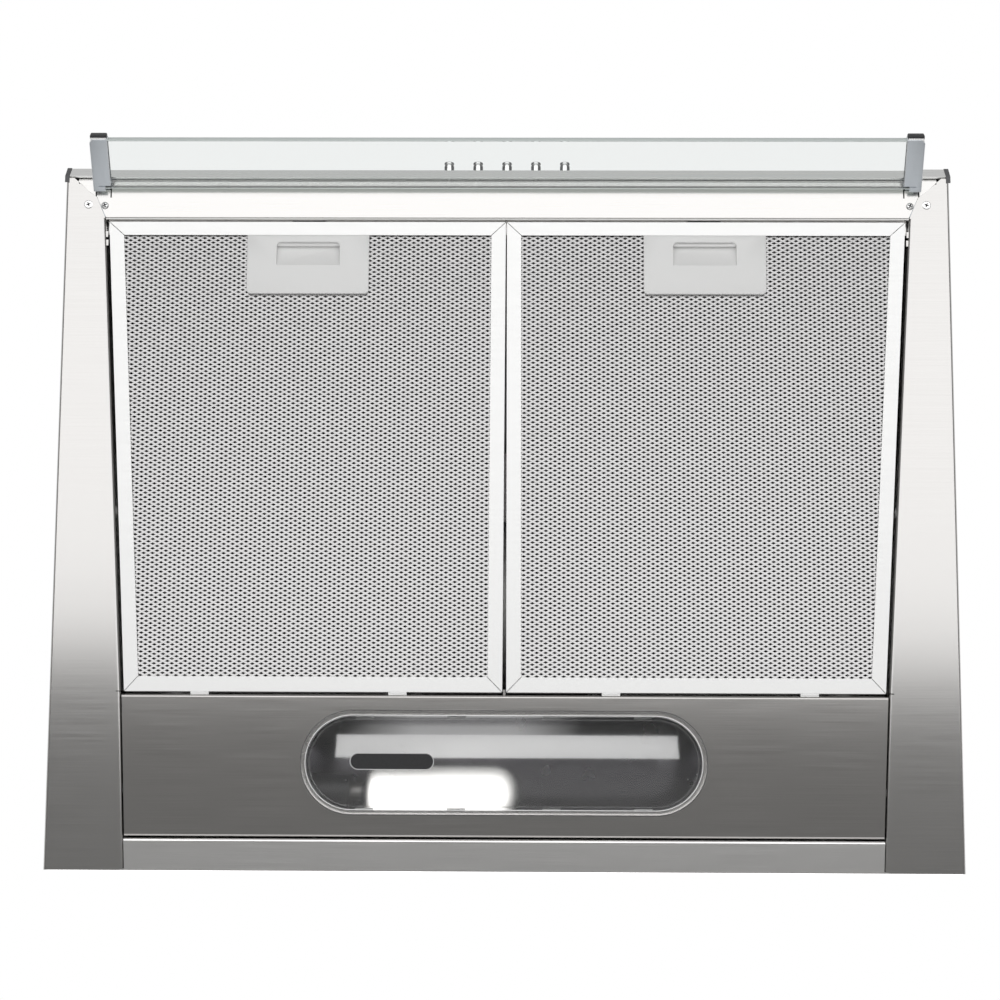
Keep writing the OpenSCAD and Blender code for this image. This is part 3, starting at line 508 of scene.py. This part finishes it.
# the glow is strongest underneath and fades round the bulb's sides
frosted = new_finish("frosted_bulb", (0.95, 0.95, 0.93), 0.0, 0.45)
faded = computed(frosted, "POWER", facing(frosted, "Z"), 4)
glow_from(frosted, computed(frosted, "MULTIPLY", faded, 2.2), (1.0, 0.99, 0.96))
even_rough(frosted, 300, 0.4, 0.55)
ground_glass = new_finish("ground_glass", (0.70, 0.75, 0.735), 0.0, 0.55)
even_rough(ground_glass, 700, 0.5, 0.65)
# painted glow: stands in for light that runs along inside the pane and leaves at its rear edge
rear_edge_painted_glow = new_finish("ground_glass_painted_glow", (0.80, 0.85, 0.83), 0.0, 0.55,
                      Emission_Color=(0.93, 1.0, 0.96, 1), Emission_Strength=0.25)
even_rough(rear_edge_painted_glow, 700, 0.5, 0.65)
dress(pane_glass, "visor_glass")
dress(lens_clear, "lamp_lens")
dress(frosted, "lamp_bulb")

# %% [markdown]
# ## Expanded metal
# A grease filter's face is expanded aluminium: sheet that was slit and pulled open, so it
# stays one piece of leaning strands that meet at bonds. Each row of strands is a zigzag.
# One strand is drawn by extruding a small leaning cross-section forwards and back, an Array
# repeats it to a row, a mirrored copy makes the next row, and a second Array repeats the
# pair down the filter. Two bisect cuts then give the taper.

# %% The filter's outline, in millimetres
FRONT, BACK = -434.4, -116.4
INNER = (0.4, 1.35)
OUTER = (268.9, 249.7)
BAR_FRONT, BAR_BACK, BAR_SIDE = 9.1, 9.8, 9.6
HANDLE_X, HANDLE_W = 133.8, 82.4
HANDLE_FRONT, HANDLE_BACK = -425.1, -384.6


# %% One expanded sheet
def expanded_sheet(name, long_way, short_way, strand, thick, lean, z, under=3.5):
    """Zigzag strands over the filter's window, reaching a little under its bars."""
    low_x, high_x = INNER[0] + BAR_SIDE - under, OUTER[0] - BAR_SIDE + under
    low_y, high_y = FRONT + BAR_FRONT - under, BACK - BAR_BACK + under
    bpy.ops.object.select_all(action="DESELECT")
    bpy.ops.mesh.primitive_plane_add(
        size=1, location=(low_x * MM, low_y * MM, z * MM),
        rotation=(0, math.radians(90), 0))
    sheet = bpy.context.object
    sheet.name = name
    sheet.scale = (thick * MM, strand * MM, 1)
    bpy.ops.object.transform_apply(location=False, rotation=True, scale=True)
    sheet.rotation_euler = (math.radians(lean), 0, 0)
    apply_place(sheet)
    edit(sheet)
    move(0, -short_way / 4, 0)
    for step in (short_way / 2, -short_way / 2):
        bpy.ops.mesh.extrude_region_move(
            TRANSFORM_OT_translate={"value": (long_way / 2 * MM, step * MM, 0)})
    # the two end faces are inside once the strand is repeated
    bpy.ops.mesh.select_all(action="DESELECT")
    mesh = bmesh.from_edit_mesh(sheet.data)
    for face in mesh.faces:
        face.select_set(abs(face.normal.x) > 0.99)
    bmesh.update_edit_mesh(sheet.data)
    bpy.ops.mesh.delete(type="ONLY_FACE")
    outwards()
    row = sheet.modifiers.new("row", "ARRAY")
    row.use_relative_offset = False
    row.use_constant_offset = True
    row.constant_offset_displace = (long_way * MM, 0, 0)
    row.count = math.ceil((high_x - low_x) / long_way)
    row.use_merge_vertices = True
    row.merge_threshold = WELD
    bpy.ops.object.modifier_apply(modifier="row")
    edit(sheet)
    bpy.ops.mesh.duplicate_move(
        TRANSFORM_OT_translate={"value": (long_way / 2 * MM, short_way / 2 * MM, 0)})
    done()
    rows = sheet.modifiers.new("rows", "ARRAY")
    rows.use_relative_offset = False
    rows.use_constant_offset = True
    rows.constant_offset_displace = (0, short_way * MM, 0)
    rows.count = math.ceil((high_y - low_y) / short_way)
    bpy.ops.object.modifier_apply(modifier="rows")
    # taper: keep what lies between the two slanted sides
    for ends, side, inset in ((INNER, -1, BAR_SIDE - under), (OUTER, 1, under - BAR_SIDE)):
        edit(sheet)
        lean_in = (ends[1] - ends[0]) / (BACK - FRONT)
        # the plane's normal is clipped to lengths of 1, so it is given in that size
        bpy.ops.mesh.bisect(
            plane_co=((ends[0] + inset) * MM, FRONT * MM, 0),
            plane_no=(side, -side * lean_in, 0), clear_outer=True)
        done()
    return sheet


def leave_handle(sheet):
    """Opens the sheet where the handle's block sits."""
    edit(sheet, lambda p: abs(p.x - HANDLE_X) < HANDLE_W / 2 - 1 and p.y < HANDLE_BACK - 1,
         "FACE")
    bpy.ops.mesh.delete(type="FACE")
    done()


# %% Filter faces
face_sheet = expanded_sheet("face", long_way=5.9, short_way=3.12, strand=1.42,
                            thick=0.30, lean=-12, z=1.5)
rear_sheet = expanded_sheet("rear", long_way=11.8, short_way=6.4, strand=2.6,
                            thick=0.4, lean=22, z=7.7)
mesh_right = join("filter_mesh_fine_right", [face_sheet, rear_sheet])
leave_handle(mesh_right)
mesh_left = mirrored(mesh_right, "filter_mesh_fine_left")
hand_over(mesh_right, "filter_right", mesh_aluminium, ["filter_mesh_right"])
hand_over(mesh_left, "filter_left", mesh_aluminium, ["filter_mesh_left"])

# %% [markdown]
# ## The layers inside a filter
# Behind the face lie coarser layers that only show as glints through the openings. One
# open sheet at half height, leaning the other way, gives them; the solids' corrugated foil
# is left out of sight.

# %% Inner layers
inner_right = expanded_sheet("filter_layers_right", long_way=8.3, short_way=4.7,
                             strand=2.4, thick=0.35, lean=-32, z=4.3)
leave_handle(inner_right)
inner_left = mirrored(inner_right, "filter_layers_left")
hand_over(inner_right, "filter_right", inner_aluminium_painted_shade, ["filter_foil_right"])
hand_over(inner_left, "filter_left", inner_aluminium_painted_shade, ["filter_foil_left"])

# %% [markdown]
# ## Filter handles
# The handle is a moulded plate with soft corners and a finger pocket. The pocket is deepest
# at its front wall and its floor rises to the face, so it is cut with a wedge: a box whose
# rear top edge is pulled down, with its upright corners rounded before the cut.

# %% Handle plate with its pocket
HANDLE_FACE, HANDLE_TOP, HANDLE_ROUND = -0.6, 7.9, 3
POCKET_W, POCKET_FRONT, POCKET_BACK = 42.6, -420.4, -404.6
POCKET_TOP, POCKET_END = 6.2, 0.4

plate = add_block("filter_grip_right", (HANDLE_X - HANDLE_W / 2, HANDLE_FRONT, HANDLE_FACE),
                  (HANDLE_X + HANDLE_W / 2, HANDLE_BACK, HANDLE_TOP))
bevel_uprights(plate, lambda p: p.y > HANDLE_BACK - 1, HANDLE_ROUND, 6)

wedge = add_block("wedge", (HANDLE_X - POCKET_W / 2, POCKET_FRONT, -4),
                  (HANDLE_X + POCKET_W / 2, POCKET_BACK, POCKET_TOP))
edit(wedge, lambda p: p.y > POCKET_BACK - 1 and p.z > 0)
move(0, 0, POCKET_END - POCKET_TOP)
done()
bevel_uprights(wedge, lambda p: p.y < POCKET_FRONT + 1, HANDLE_ROUND, 6)
cut_away(plate, wedge)
round_edges(plate, 0.35, 2, 40)
plate_left = mirrored(plate, "filter_grip_left")
hand_over(plate, "filter_right", handle_plastic, ["filter_handle_right"])
hand_over(plate_left, "filter_left", handle_plastic, ["filter_handle_left"])
dress(handle_plastic, "latch_left", "latch_right")

# %% [markdown]
# ## The lamp's lens
# The lens is one clear moulding in the shape of a running track: two half circles with
# straight sides. A disc is drawn first, its two halves are pulled apart, and the flat face
# that results is extruded and inset into a shallow dish with a step round its rim. Eight
# small snap clips reach up through the panel.

# %% Track-shaped disc
LENS_L, LENS_W, LENS_Y = 265.2, 67.4, -70.3


def track(name, length, width, x, y, z, corners=96):
    """A flat track-shaped face."""
    bpy.ops.object.select_all(action="DESELECT")
    bpy.ops.mesh.primitive_circle_add(
        vertices=corners, radius=width / 2 * MM, fill_type="NGON",
        location=(x * MM, y * MM, z * MM), rotation=(0, 0, math.radians(180 / corners)))
    disc = bpy.context.object
    disc.name = name
    apply_place(disc)
    for side in (-1, 1):
        edit(disc, lambda p: (p.x - x) * side > 0)
        move(side * (length - width) / 2, 0, 0)
        done()
    return disc


def face_at(obj, z, up):
    """Picks the level faces at height z that look up or down."""
    edit(obj, mode="FACE")
    bpy.ops.mesh.select_all(action="DESELECT")
    mesh = bmesh.from_edit_mesh(obj.data)
    mesh.normal_update()
    for face in mesh.faces:
        level = abs(face.calc_center_median().z / MM - z) < 0.02
        face.select_set(level and face.normal.z * up > 0.99)
    bmesh.update_edit_mesh(obj.data)


def extrude(z):
    bpy.ops.mesh.extrude_region_move(TRANSFORM_OT_translate={"value": (0, 0, z * MM)})


def inset(width):
    bpy.ops.mesh.inset(thickness=width * MM, depth=0.0, use_even_offset=True)


def thicken(obj, z):
    """Makes a flat face a closed slab that reaches z further up or down."""
    edit(obj)
    extrude(z)
    outwards()


# %% Lens
FLANGE_TOP, LENS_FACE = -0.1, -1.7
CLIP_W, CLIP_THICK, CLIP_LOW, CLIP_HIGH, CLIP_INSET = 12, 2, 1.1, 3.0, 3.1

lens = track("lamp_lens_moulding", LENS_L, LENS_W, 0, LENS_Y, FLANGE_TOP)
thicken(lens, LENS_FACE - FLANGE_TOP)
# the rim: a step down round the face, then the face itself a little higher
face_at(lens, LENS_FACE, -1)
inset(0.5)
extrude(-0.3)
inset(1.3)
extrude(0.3)
inset(0.9)
extrude(0.25)
done()
# the inside of the dish, and the wall that stands up into the panel's opening
face_at(lens, FLANGE_TOP, 1)
inset(3.2)
extrude(3.0)
inset(1.7)
extrude(-3.7)
done()
clips = []
for x in (-91, -31, 31, 91):
    for side in (-1, 1):
        y = LENS_Y + side * (LENS_W / 2 - CLIP_INSET)
        clips.append(add_block("clip", (x - CLIP_W / 2, y - CLIP_THICK / 2, CLIP_LOW),
                               (x + CLIP_W / 2, y + CLIP_THICK / 2, CLIP_HIGH)))
round_edges(lens, 0.25, 2, 50)
hand_over(lens, "hood_body", lens_clear, ["lamp_lens"])
clips = round_edges(join("lamp_lens_clips", clips), 0.3, 2)
hand_over(clips, "hood_body", clip_plastic, [])

# %% [markdown]
# ## The lens's two fine lines
# A dark ring runs round the lens, where its edge meets the panel, as painted shade, and a pale
# bead where the stepped rim ends, as a painted highlight. Both are rings: a slab whose top
# and bottom are inset, emptied in the middle, and bridged from one edge to the other.


# %% Rim lines
def ring(name, length, width, low, high, thick):
    """A track-shaped ring, thick across, between two heights."""
    loop = track(name, length, width, 0, LENS_Y, high)
    thicken(loop, low - high)
    for z, up in ((low, -1), (high, 1)):
        face_at(loop, z, up)
        inset(thick)
        done()
    edit(loop, lambda p: abs(p.x) < 0.1 and abs(p.y - LENS_Y) < 0.1, "FACE")
    bpy.ops.mesh.delete(type="FACE")
    bpy.ops.mesh.select_mode(type="EDGE")
    bpy.ops.mesh.select_all(action="DESELECT")
    bpy.ops.mesh.select_non_manifold()
    bpy.ops.mesh.bridge_edge_loops()
    outwards()
    return loop


shadow_line = ring("lamp_lens_shadow_line", LENS_L + 0.9, LENS_W + 0.9,
                  low=-1.1, high=FLANGE_TOP, thick=0.5)
round_edges(shadow_line, 0.1, 1, 50)
hand_over(shadow_line, "hood_body", edge_plastic, [])
bead = ring("lamp_lens_highlight_bead", LENS_L - 5.4, LENS_W - 5.4,
            low=-1.75, high=-1.3, thick=0.45)
round_edges(bead, 0.1, 2, 50)
hand_over(bead, "hood_body", bead_painted_highlight, [])

# %% [markdown]
# ## The bare pad
# An oval pad stands on the dish. It is left bare: a dark floor, and round it a pale edge
# that is inset and pushed back up, so that it frames the floor.

# %% Bare pad on the lens
PAD_X, PAD_Y = -73, LENS_Y - 0.6
PAD_TOP, PAD_LOW, PAD_FLOOR, PAD_RIM = -1.4, -2.2, -1.85, 0.5

pad = track("lamp_lens_pad", 53.9, 9.9, PAD_X, PAD_Y, PAD_TOP)
thicken(pad, PAD_FLOOR - PAD_TOP)
hand_over(pad, "hood_body", pad_plastic, [])
edge = track("lamp_lens_pad_edge", 55, 11, PAD_X, PAD_Y, PAD_TOP)
thicken(edge, PAD_LOW - PAD_TOP)
face_at(edge, PAD_LOW, -1)
inset(PAD_RIM)
extrude(PAD_FLOOR - PAD_LOW + 0.2)
done()
round_edges(edge, 0.12, 2, 50)
hand_over(edge, "hood_body", clip_plastic, [])

# %% [markdown]
# ## The bulb
# A long frosted bulb lies along the hood behind the lens. Its profile is a chain of points;
# each step extrudes the last ring along the bulb's axis and scales it to the next radius.

# %% Bulb
BULB_X0, BULB_Y, BULB_Z = -92, -49, 25
BULB_PLACE = (BULB_X0, BULB_Y, BULB_Z)
POINT = 0.01  # the radius that a ring shrinks to where the profile ends on the axis
bulb_profile = [(0.2, 6.4), (0.21, 12), (0.8, 15), (2.2, 17.4), (4.4, 19.2),
                (8.2, 20), (50, 20), (85, 20), (90, 19.1), (94.2, 17), (97.6, 13.6),
                (99.6, 9.8), (100.7, 5.2), (101, 0)]


def spun(name, profile, place, segments=40):
    """A round body along X through place; profile holds (distance along X, radius)."""
    bpy.ops.object.select_all(action="DESELECT")
    bpy.ops.mesh.primitive_circle_add(
        vertices=segments, radius=profile[0][1] * MM, fill_type="NGON",
        location=[v * MM for v in place], rotation=(0, math.radians(90), 0))
    body = bpy.context.object
    body.name = name
    apply_place(body)
    edit(body)
    move(profile[0][0], 0, 0)
    centre = [v * MM for v in place]
    for (x0, r0), (x1, r1) in zip(profile, profile[1:]):
        bpy.ops.mesh.extrude_region_move(
            TRANSFORM_OT_translate={"value": ((x1 - x0) * MM, 0, 0)})
        grow = max(r1, POINT) / max(r0, POINT)
        bpy.ops.transform.resize(
            value=(1, grow, grow), center_override=centre, orient_type="GLOBAL")
    bpy.ops.mesh.select_all(action="SELECT")
    bpy.ops.mesh.remove_doubles(threshold=WELD)
    outwards()
    return body


bulb = spun("lamp_bulb_glass", bulb_profile, BULB_PLACE)
only(bulb)
bpy.ops.object.shade_smooth_by_angle(angle=math.radians(50))
hand_over(bulb, "hood_body", frosted, ["lamp_bulb"])
neck = spun("lamp_bulb_neck", [(-4, 6.4), (0.4, 6.6)], BULB_PLACE)
edit(neck, lambda p: p.x > BULB_X0)
bpy.ops.mesh.edge_face_add()
outwards()
hand_over(neck, "hood_body", edge_plastic, [])

# %% [markdown]
# ## The lamp's light strip
# A bent strip runs along the tray's front: a level half that the lens shows as a pale bar,
# and a sloping half in front of it. Each half is a block; the sloping one has its front
# edge lifted in edit mode.

# %% Light strip
STRIP_LEFT, STRIP_RIGHT = -112, 116
STRIP_MIDDLE = (STRIP_LEFT + STRIP_RIGHT) / 2
level = add_block("lamp_strip_level", (STRIP_LEFT, -90.8, 12), (STRIP_RIGHT, -74.5, 12.8))
edit(level, lambda p: p.y > -80)
bpy.ops.transform.resize(value=(1.008, 1, 1), orient_type="GLOBAL",
                         center_override=(STRIP_MIDDLE * MM, 0, 0))
done()
round_edges(level, 0.2, 2)
hand_over(level, "hood_body", reflector_white_painted_glow, ["lamp_reflector"])
slope = add_block("lamp_strip_slope", (STRIP_LEFT, -105, 12.2), (STRIP_RIGHT, -90.9, 13))
edit(slope, lambda p: p.y < -100)
move(0, 0, 28.6)
done()
round_edges(slope, 0.2, 2)
hand_over(slope, "hood_body", slope_steel_painted_glow, [])

# %% [markdown]
# ## Push buttons
# Each button is a turned and polished cap with a fine groove near its end, on a thinner
# stem. One is made along X, turned to point forwards, and copied.

# %% Buttons
FASCIA_FACE, BUTTON_Z, BUTTON_PITCH = -474, 20, 19.8
button_profile = [(-15, 2.0), (-2, 2.0), (-2, 3.3), (6.3, 3.3), (6.7, 2.75), (7.1, 2.75),
                  (7.5, 3.3), (8.3, 3.3), (8.75, 3.1), (9.0, 2.7), (8.9, 1.6), (8.8, 0)]
for i in range(5):
    button = spun("button_cap_%d" % (i + 1), button_profile, (0, 0, 0), 32)
    button.rotation_euler = (0, 0, math.radians(-90))
    button.location = ((i - 2) * BUTTON_PITCH * MM, FASCIA_FACE * MM, BUTTON_Z * MM)
    round_edges(button, 0.12, 2, 50)
    hand_over(button, "push_%d" % (i + 1), cap_chrome_painted_reflection, ["button_%d" % (i + 1)])

# %% [markdown]
# ## Visor arms and tips
# Each arm is a zinc casting: a channel that holds the pane's end, with a narrower ear that
# climbs through the notch to the hinge pin. It is built level, round the pin as origin,
# and then tilted by the 40 degrees at which the visor stands open.

# %% Visor arms
PIVOT_Y, PIVOT_Z, DROOP = -463.6, 5, 40
ARM_X, ARM_W, EAR_W, EAR_R, PIN_HOLE_R = 273.4, 12, 7.8, 3.2, 1.55
UNDER, TOP, ARM_FRONT, ARM_BACK = -13.6, -6.3, -36.6, 1.2


def tilt(obj):
    """From the visor's own level frame to its open position."""
    obj.rotation_euler = (math.radians(DROOP), 0, 0)
    obj.location = (0, PIVOT_Y * MM, PIVOT_Z * MM)
    return apply_place(obj)


def cross_cylinder(radius, length):
    """A cylinder along X round the hinge's axis, in millimetres."""
    bpy.ops.object.select_all(action="DESELECT")
    bpy.ops.mesh.primitive_cylinder_add(
        vertices=48, radius=radius * MM, depth=length * MM, location=(ARM_X * MM, 0, 0),
        rotation=(0, math.radians(90), 0))
    return apply_place(bpy.context.object)


arm = add_block("visor_arm_right", (ARM_X - ARM_W / 2, ARM_FRONT, UNDER),
                (ARM_X + ARM_W / 2, ARM_BACK, TOP))
# the rear end slopes forwards towards the top
edit(arm, lambda p: p.y > 0 and p.z > UNDER + 1)
move(0, -2.4, 0)
done()
# the outer front corner is cut off at a slant
bevel_uprights(arm, lambda p: p.y < ARM_FRONT + 1 and p.x > ARM_X, 2.4, 1)
round_edges(arm, 0.6, 4, 30)
slot_for_pane = add_block("slot", (ARM_X - ARM_W / 2 - 1, ARM_FRONT + 0.9, UNDER + 0.8),
                          (ARM_X + 2.02, 4, UNDER + 6.8))
cut_away(arm, slot_for_pane)
# the heel is stepped: the inner third ends earlier, with a groove across the middle
cut_away(arm, add_block("step", (ARM_X - 7, -3.2, UNDER - 1), (ARM_X - 2.1, 3, TOP - 0.7)))
cut_away(arm, add_block("groove", (ARM_X - 3, -3.2, UNDER - 1),
                        (ARM_X + 2.2, -2.5, UNDER + 0.7)))
ear = add_block("ear", (ARM_X - EAR_W / 2, -1.5, TOP - 0.6), (ARM_X + EAR_W / 2, 2.5, 0))
edit(ear, lambda p: p.z > -1)
bpy.ops.transform.resize(value=(1, 1.28, 1), center_override=(0, 0, 0),
                         orient_type="GLOBAL")
done()
boss = cross_cylinder(EAR_R, EAR_W)
cut_away(boss, cross_cylinder(PIN_HOLE_R, 20))
web = add_block("web", (ARM_X - EAR_W / 2, -12, TOP - 0.2), (ARM_X + EAR_W / 2, -1, TOP + 0.5))
round_edges(web, 0.2, 2)
arm = join("visor_arm_right", [arm, ear, boss, web])
only(arm)
bpy.ops.object.shade_smooth_by_angle(angle=math.radians(35))
tilt(arm)
arm_left = mirrored(arm, "visor_arm_left")
hand_over(arm, "visor", satin_zinc_painted_sheen, ["visor_bracket_right"])
hand_over(arm_left, "visor", satin_zinc_painted_sheen, ["visor_bracket_left"])

# %% [markdown]
# ## The tips of the arms
# A black plug closes the front of each channel. A pale flat piece behind it reaches a
# little lower, so that from below it shows as a bright line along the plug: a painted
# highlight.

# %% Black tips and the bright line behind them
nose = add_block("visor_nose", (ARM_X - 5.3, ARM_FRONT - 0.7, UNDER + 0.3),
                 (ARM_X + 5.3, ARM_FRONT + 0.3, TOP - 0.8))
round_edges(nose, 0.3, 2, 30)
tilt(nose)
noses = join("visor_noses", [nose, mirrored(nose, "visor_nose_left")])
hand_over(noses, "visor", nose_painted_highlight, [])
tip = add_block("visor_tip", (ARM_X - 5.6, ARM_FRONT - 2.4, UNDER + 1.6),
                (ARM_X + 5.6, ARM_FRONT + 0.6, TOP - 0.3))
round_edges(tip, 0.9, 4, 30)
tilt(tip)
tips = join("visor_tip_plugs", [tip, mirrored(tip, "visor_tip_left")])
hand_over(tips, "visor", black_plastic, ["visor_tips"])

# %% [markdown]
# ## The visor's pane
# The pane is 6 mm glass. Its two long edges are ground: a thin matt skin on each end face
# catches the light as a soft band, which is what makes a clear sheet visible at all. The
# rear one has a painted glow, for light that runs along inside the glass and leaves there.

# %% Pane
PANE_END, PANE_FRONT, PANE_BACK = 275.4, -35.6, -1.0
SKIN, GAP = 0.35, 0.02
pane = add_block("visor_pane", (-PANE_END, PANE_FRONT + SKIN, UNDER + 0.8),
                 (PANE_END, PANE_BACK - SKIN, UNDER + 6.8))
round_edges(pane, 0.12, 1, 30)
bpy.ops.object.shade_flat()
tilt(pane)
hand_over(pane, "visor", pane_glass, ["visor_glass"])
front_skin = add_block("front_skin", (-PANE_END, PANE_FRONT, UNDER + 0.9),
                       (PANE_END, PANE_FRONT + SKIN - GAP, UNDER + 6.7))
back_skin = add_block("back_skin", (-PANE_END, PANE_BACK - SKIN + GAP, UNDER + 0.9),
                      (PANE_END, PANE_BACK, UNDER + 6.7))
for skin, name, finish in ((front_skin, "visor_pane_front_edge", ground_glass),
                           (back_skin, "visor_pane_rear_edge", rear_edge_painted_glow)):
    round_edges(skin, 0.12, 2)
    tilt(skin)
    skin.name = name
    hand_over(skin, "visor", finish, [])

# %% [markdown]
# ## Corner screws
# Two screws hold each front corner: one countersunk, one with a pan head. Their heads are
# round bodies with a crossed recess cut in, and a dark cross at its bottom is painted shade.

# %% Screws
SCREW_PLACES = ((283.5, -446.5), (272.3, -445.7))
RECESS_TURNS = (20, 110)


def recess_bar(name, x, y, turn, length, width, low, high):
    """One bar of a crossed recess, turned about the screw at x and y."""
    bar = add_block(name, (-length / 2, -width / 2, low), (length / 2, width / 2, high))
    bar.rotation_euler = (0, 0, math.radians(turn))
    bar.location = (x * MM, y * MM, 0)
    return apply_place(bar)


def screw(name, x, y, profile, recess_z):
    """A screw head that looks down, with its crossed recess."""
    head = spun(name, profile, (0, 0, 0), 32)
    head.rotation_euler = (0, math.radians(90), 0)
    head.location = (x * MM, y * MM, 0)
    apply_place(head)
    for turn in RECESS_TURNS:
        cut_away(head, recess_bar("bar", x, y, turn, 3, 0.84, recess_z - 3, recess_z + 1.5))
    round_edges(head, 0.08, 2, 40)
    return head


flat_head = [(-5, 1.3), (0, 1.3), (0, 2.9), (0.28, 2.85), (0.5, 2.3), (0.5, 0)]
pan_head = [(-5, 1.3), (0, 1.3), (0, 2.5), (0.35, 2.48), (0.8, 2.25), (1.15, 1.85),
            (1.4, 1.35), (1.55, 0.8), (1.6, 0)]
right = join("screws_right", [screw("flat", *SCREW_PLACES[0], flat_head, -0.5),
                              screw("pan", *SCREW_PLACES[1], pan_head, -1.6)])
screws = join("corner_screw_heads", [right, mirrored(right, "screws_left")])
hand_over(screws, "hood_body", screw_chrome_painted_shade, ["corner_screws"])
# painted shade: a dark cross lies at the bottom of each crossed recess
recess_shadows = [recess_bar("recess", x, y, turn, 2.94, 0.82, z, z + 0.5)
          for (x, y), z in zip(SCREW_PLACES, (-0.25, -1.25)) for turn in RECESS_TURNS]
right = join("recess_shadows_right", recess_shadows)
recess_shadow_pieces = join("corner_screw_recess_shadows", [right, mirrored(right, "recess_shadows_left")])
hand_over(recess_shadow_pieces, "hood_body", black_plastic, [])

# %% [markdown]
# ## Light
# The underside is a soft mirror, so what it shows is the room below it. One wide light low
# in front makes the front of the hood bright; the floor under the wall side gets little
# light, and the steel there turns dark grey, as in the photograph. A weak lamp above keeps
# the top readable from the other side.


# %% Lamps
def add_area(name, place, turn, width, depth, power):
    """A rectangular lamp; sizes in metres, turn in degrees, power in watts."""
    bpy.ops.object.light_add(
        type="AREA", location=place, rotation=[math.radians(a) for a in turn])
    lamp = bpy.context.object
    lamp.name = name
    lamp.data.shape = "RECTANGLE"
    lamp.data.size = width
    lamp.data.size_y = depth
    lamp.data.energy = power
    return lamp


add_area("front_light", place=(0, -1.0295, -1.25), turn=(188, 0, 1.3),
         width=2.8, depth=1.587, power=19)
add_area("top_light", place=(0, 0.15, 1.6), turn=(-12, 0, 0),
         width=2.0, depth=1.2, power=10)
add_area("rear_light", place=(0, 1.5, -1.0), turn=(-125, 0, 0),
         width=2.4, depth=1.2, power=7)
# a soft fill for the matt pieces, which mirrors and glass don't show
fill = add_area("fill_light", place=(0, 0.2, -0.95), turn=(176, 0, 0),
                width=1.6, depth=0.5, power=3.2)
fill.visible_glossy = False
fill.visible_transmission = False

# %% [markdown]
# ## Floor and background
# The floor is plain, far below the hood. Its paint is pale, but little light falls on it,
# so it shows as a middle grey from above and behind. The world is white where the camera
# or the glass looks at it, a middle grey in mirrors, and darker still as a light source.

# %% Floor and world
FLOOR_SIZE, FLOOR_HEIGHT = 14, -1.78  # in metres

bpy.ops.object.select_all(action="DESELECT")
bpy.ops.mesh.primitive_plane_add(size=FLOOR_SIZE, location=(0, 0, FLOOR_HEIGHT))
floor = bpy.context.object
floor.name = "floor"
floor_finish = new_finish("floor_paint", (0.80, 0.80, 0.79), 0.0, 0.9)
even_rough(floor_finish, 3, 0.85, 0.95)
floor.data.materials.append(floor_finish)

world = bpy.data.worlds.new("studio")
bpy.context.scene.world = world
world.use_nodes = True
tree = world.node_tree
sky = tree.nodes["Background"]
sky.inputs["Color"].default_value = (1, 1, 1, 1)
SOFT, IN_MIRRORS = 0.17, 0.65
rays = tree.nodes.new("ShaderNodeLightPath").outputs
white = computed(world, "MAXIMUM", rays["Is Camera Ray"], rays["Is Transmission Ray"])
mirrored_sky = computed(world, "MULTIPLY", rays["Is Glossy Ray"], IN_MIRRORS)
brightest = computed(world, "MAXIMUM", white, mirrored_sky)
tree.links.new(computed(world, "MAXIMUM", brightest, SOFT), sky.inputs["Strength"])
bpy.context.scene.view_settings.view_transform = "Standard"
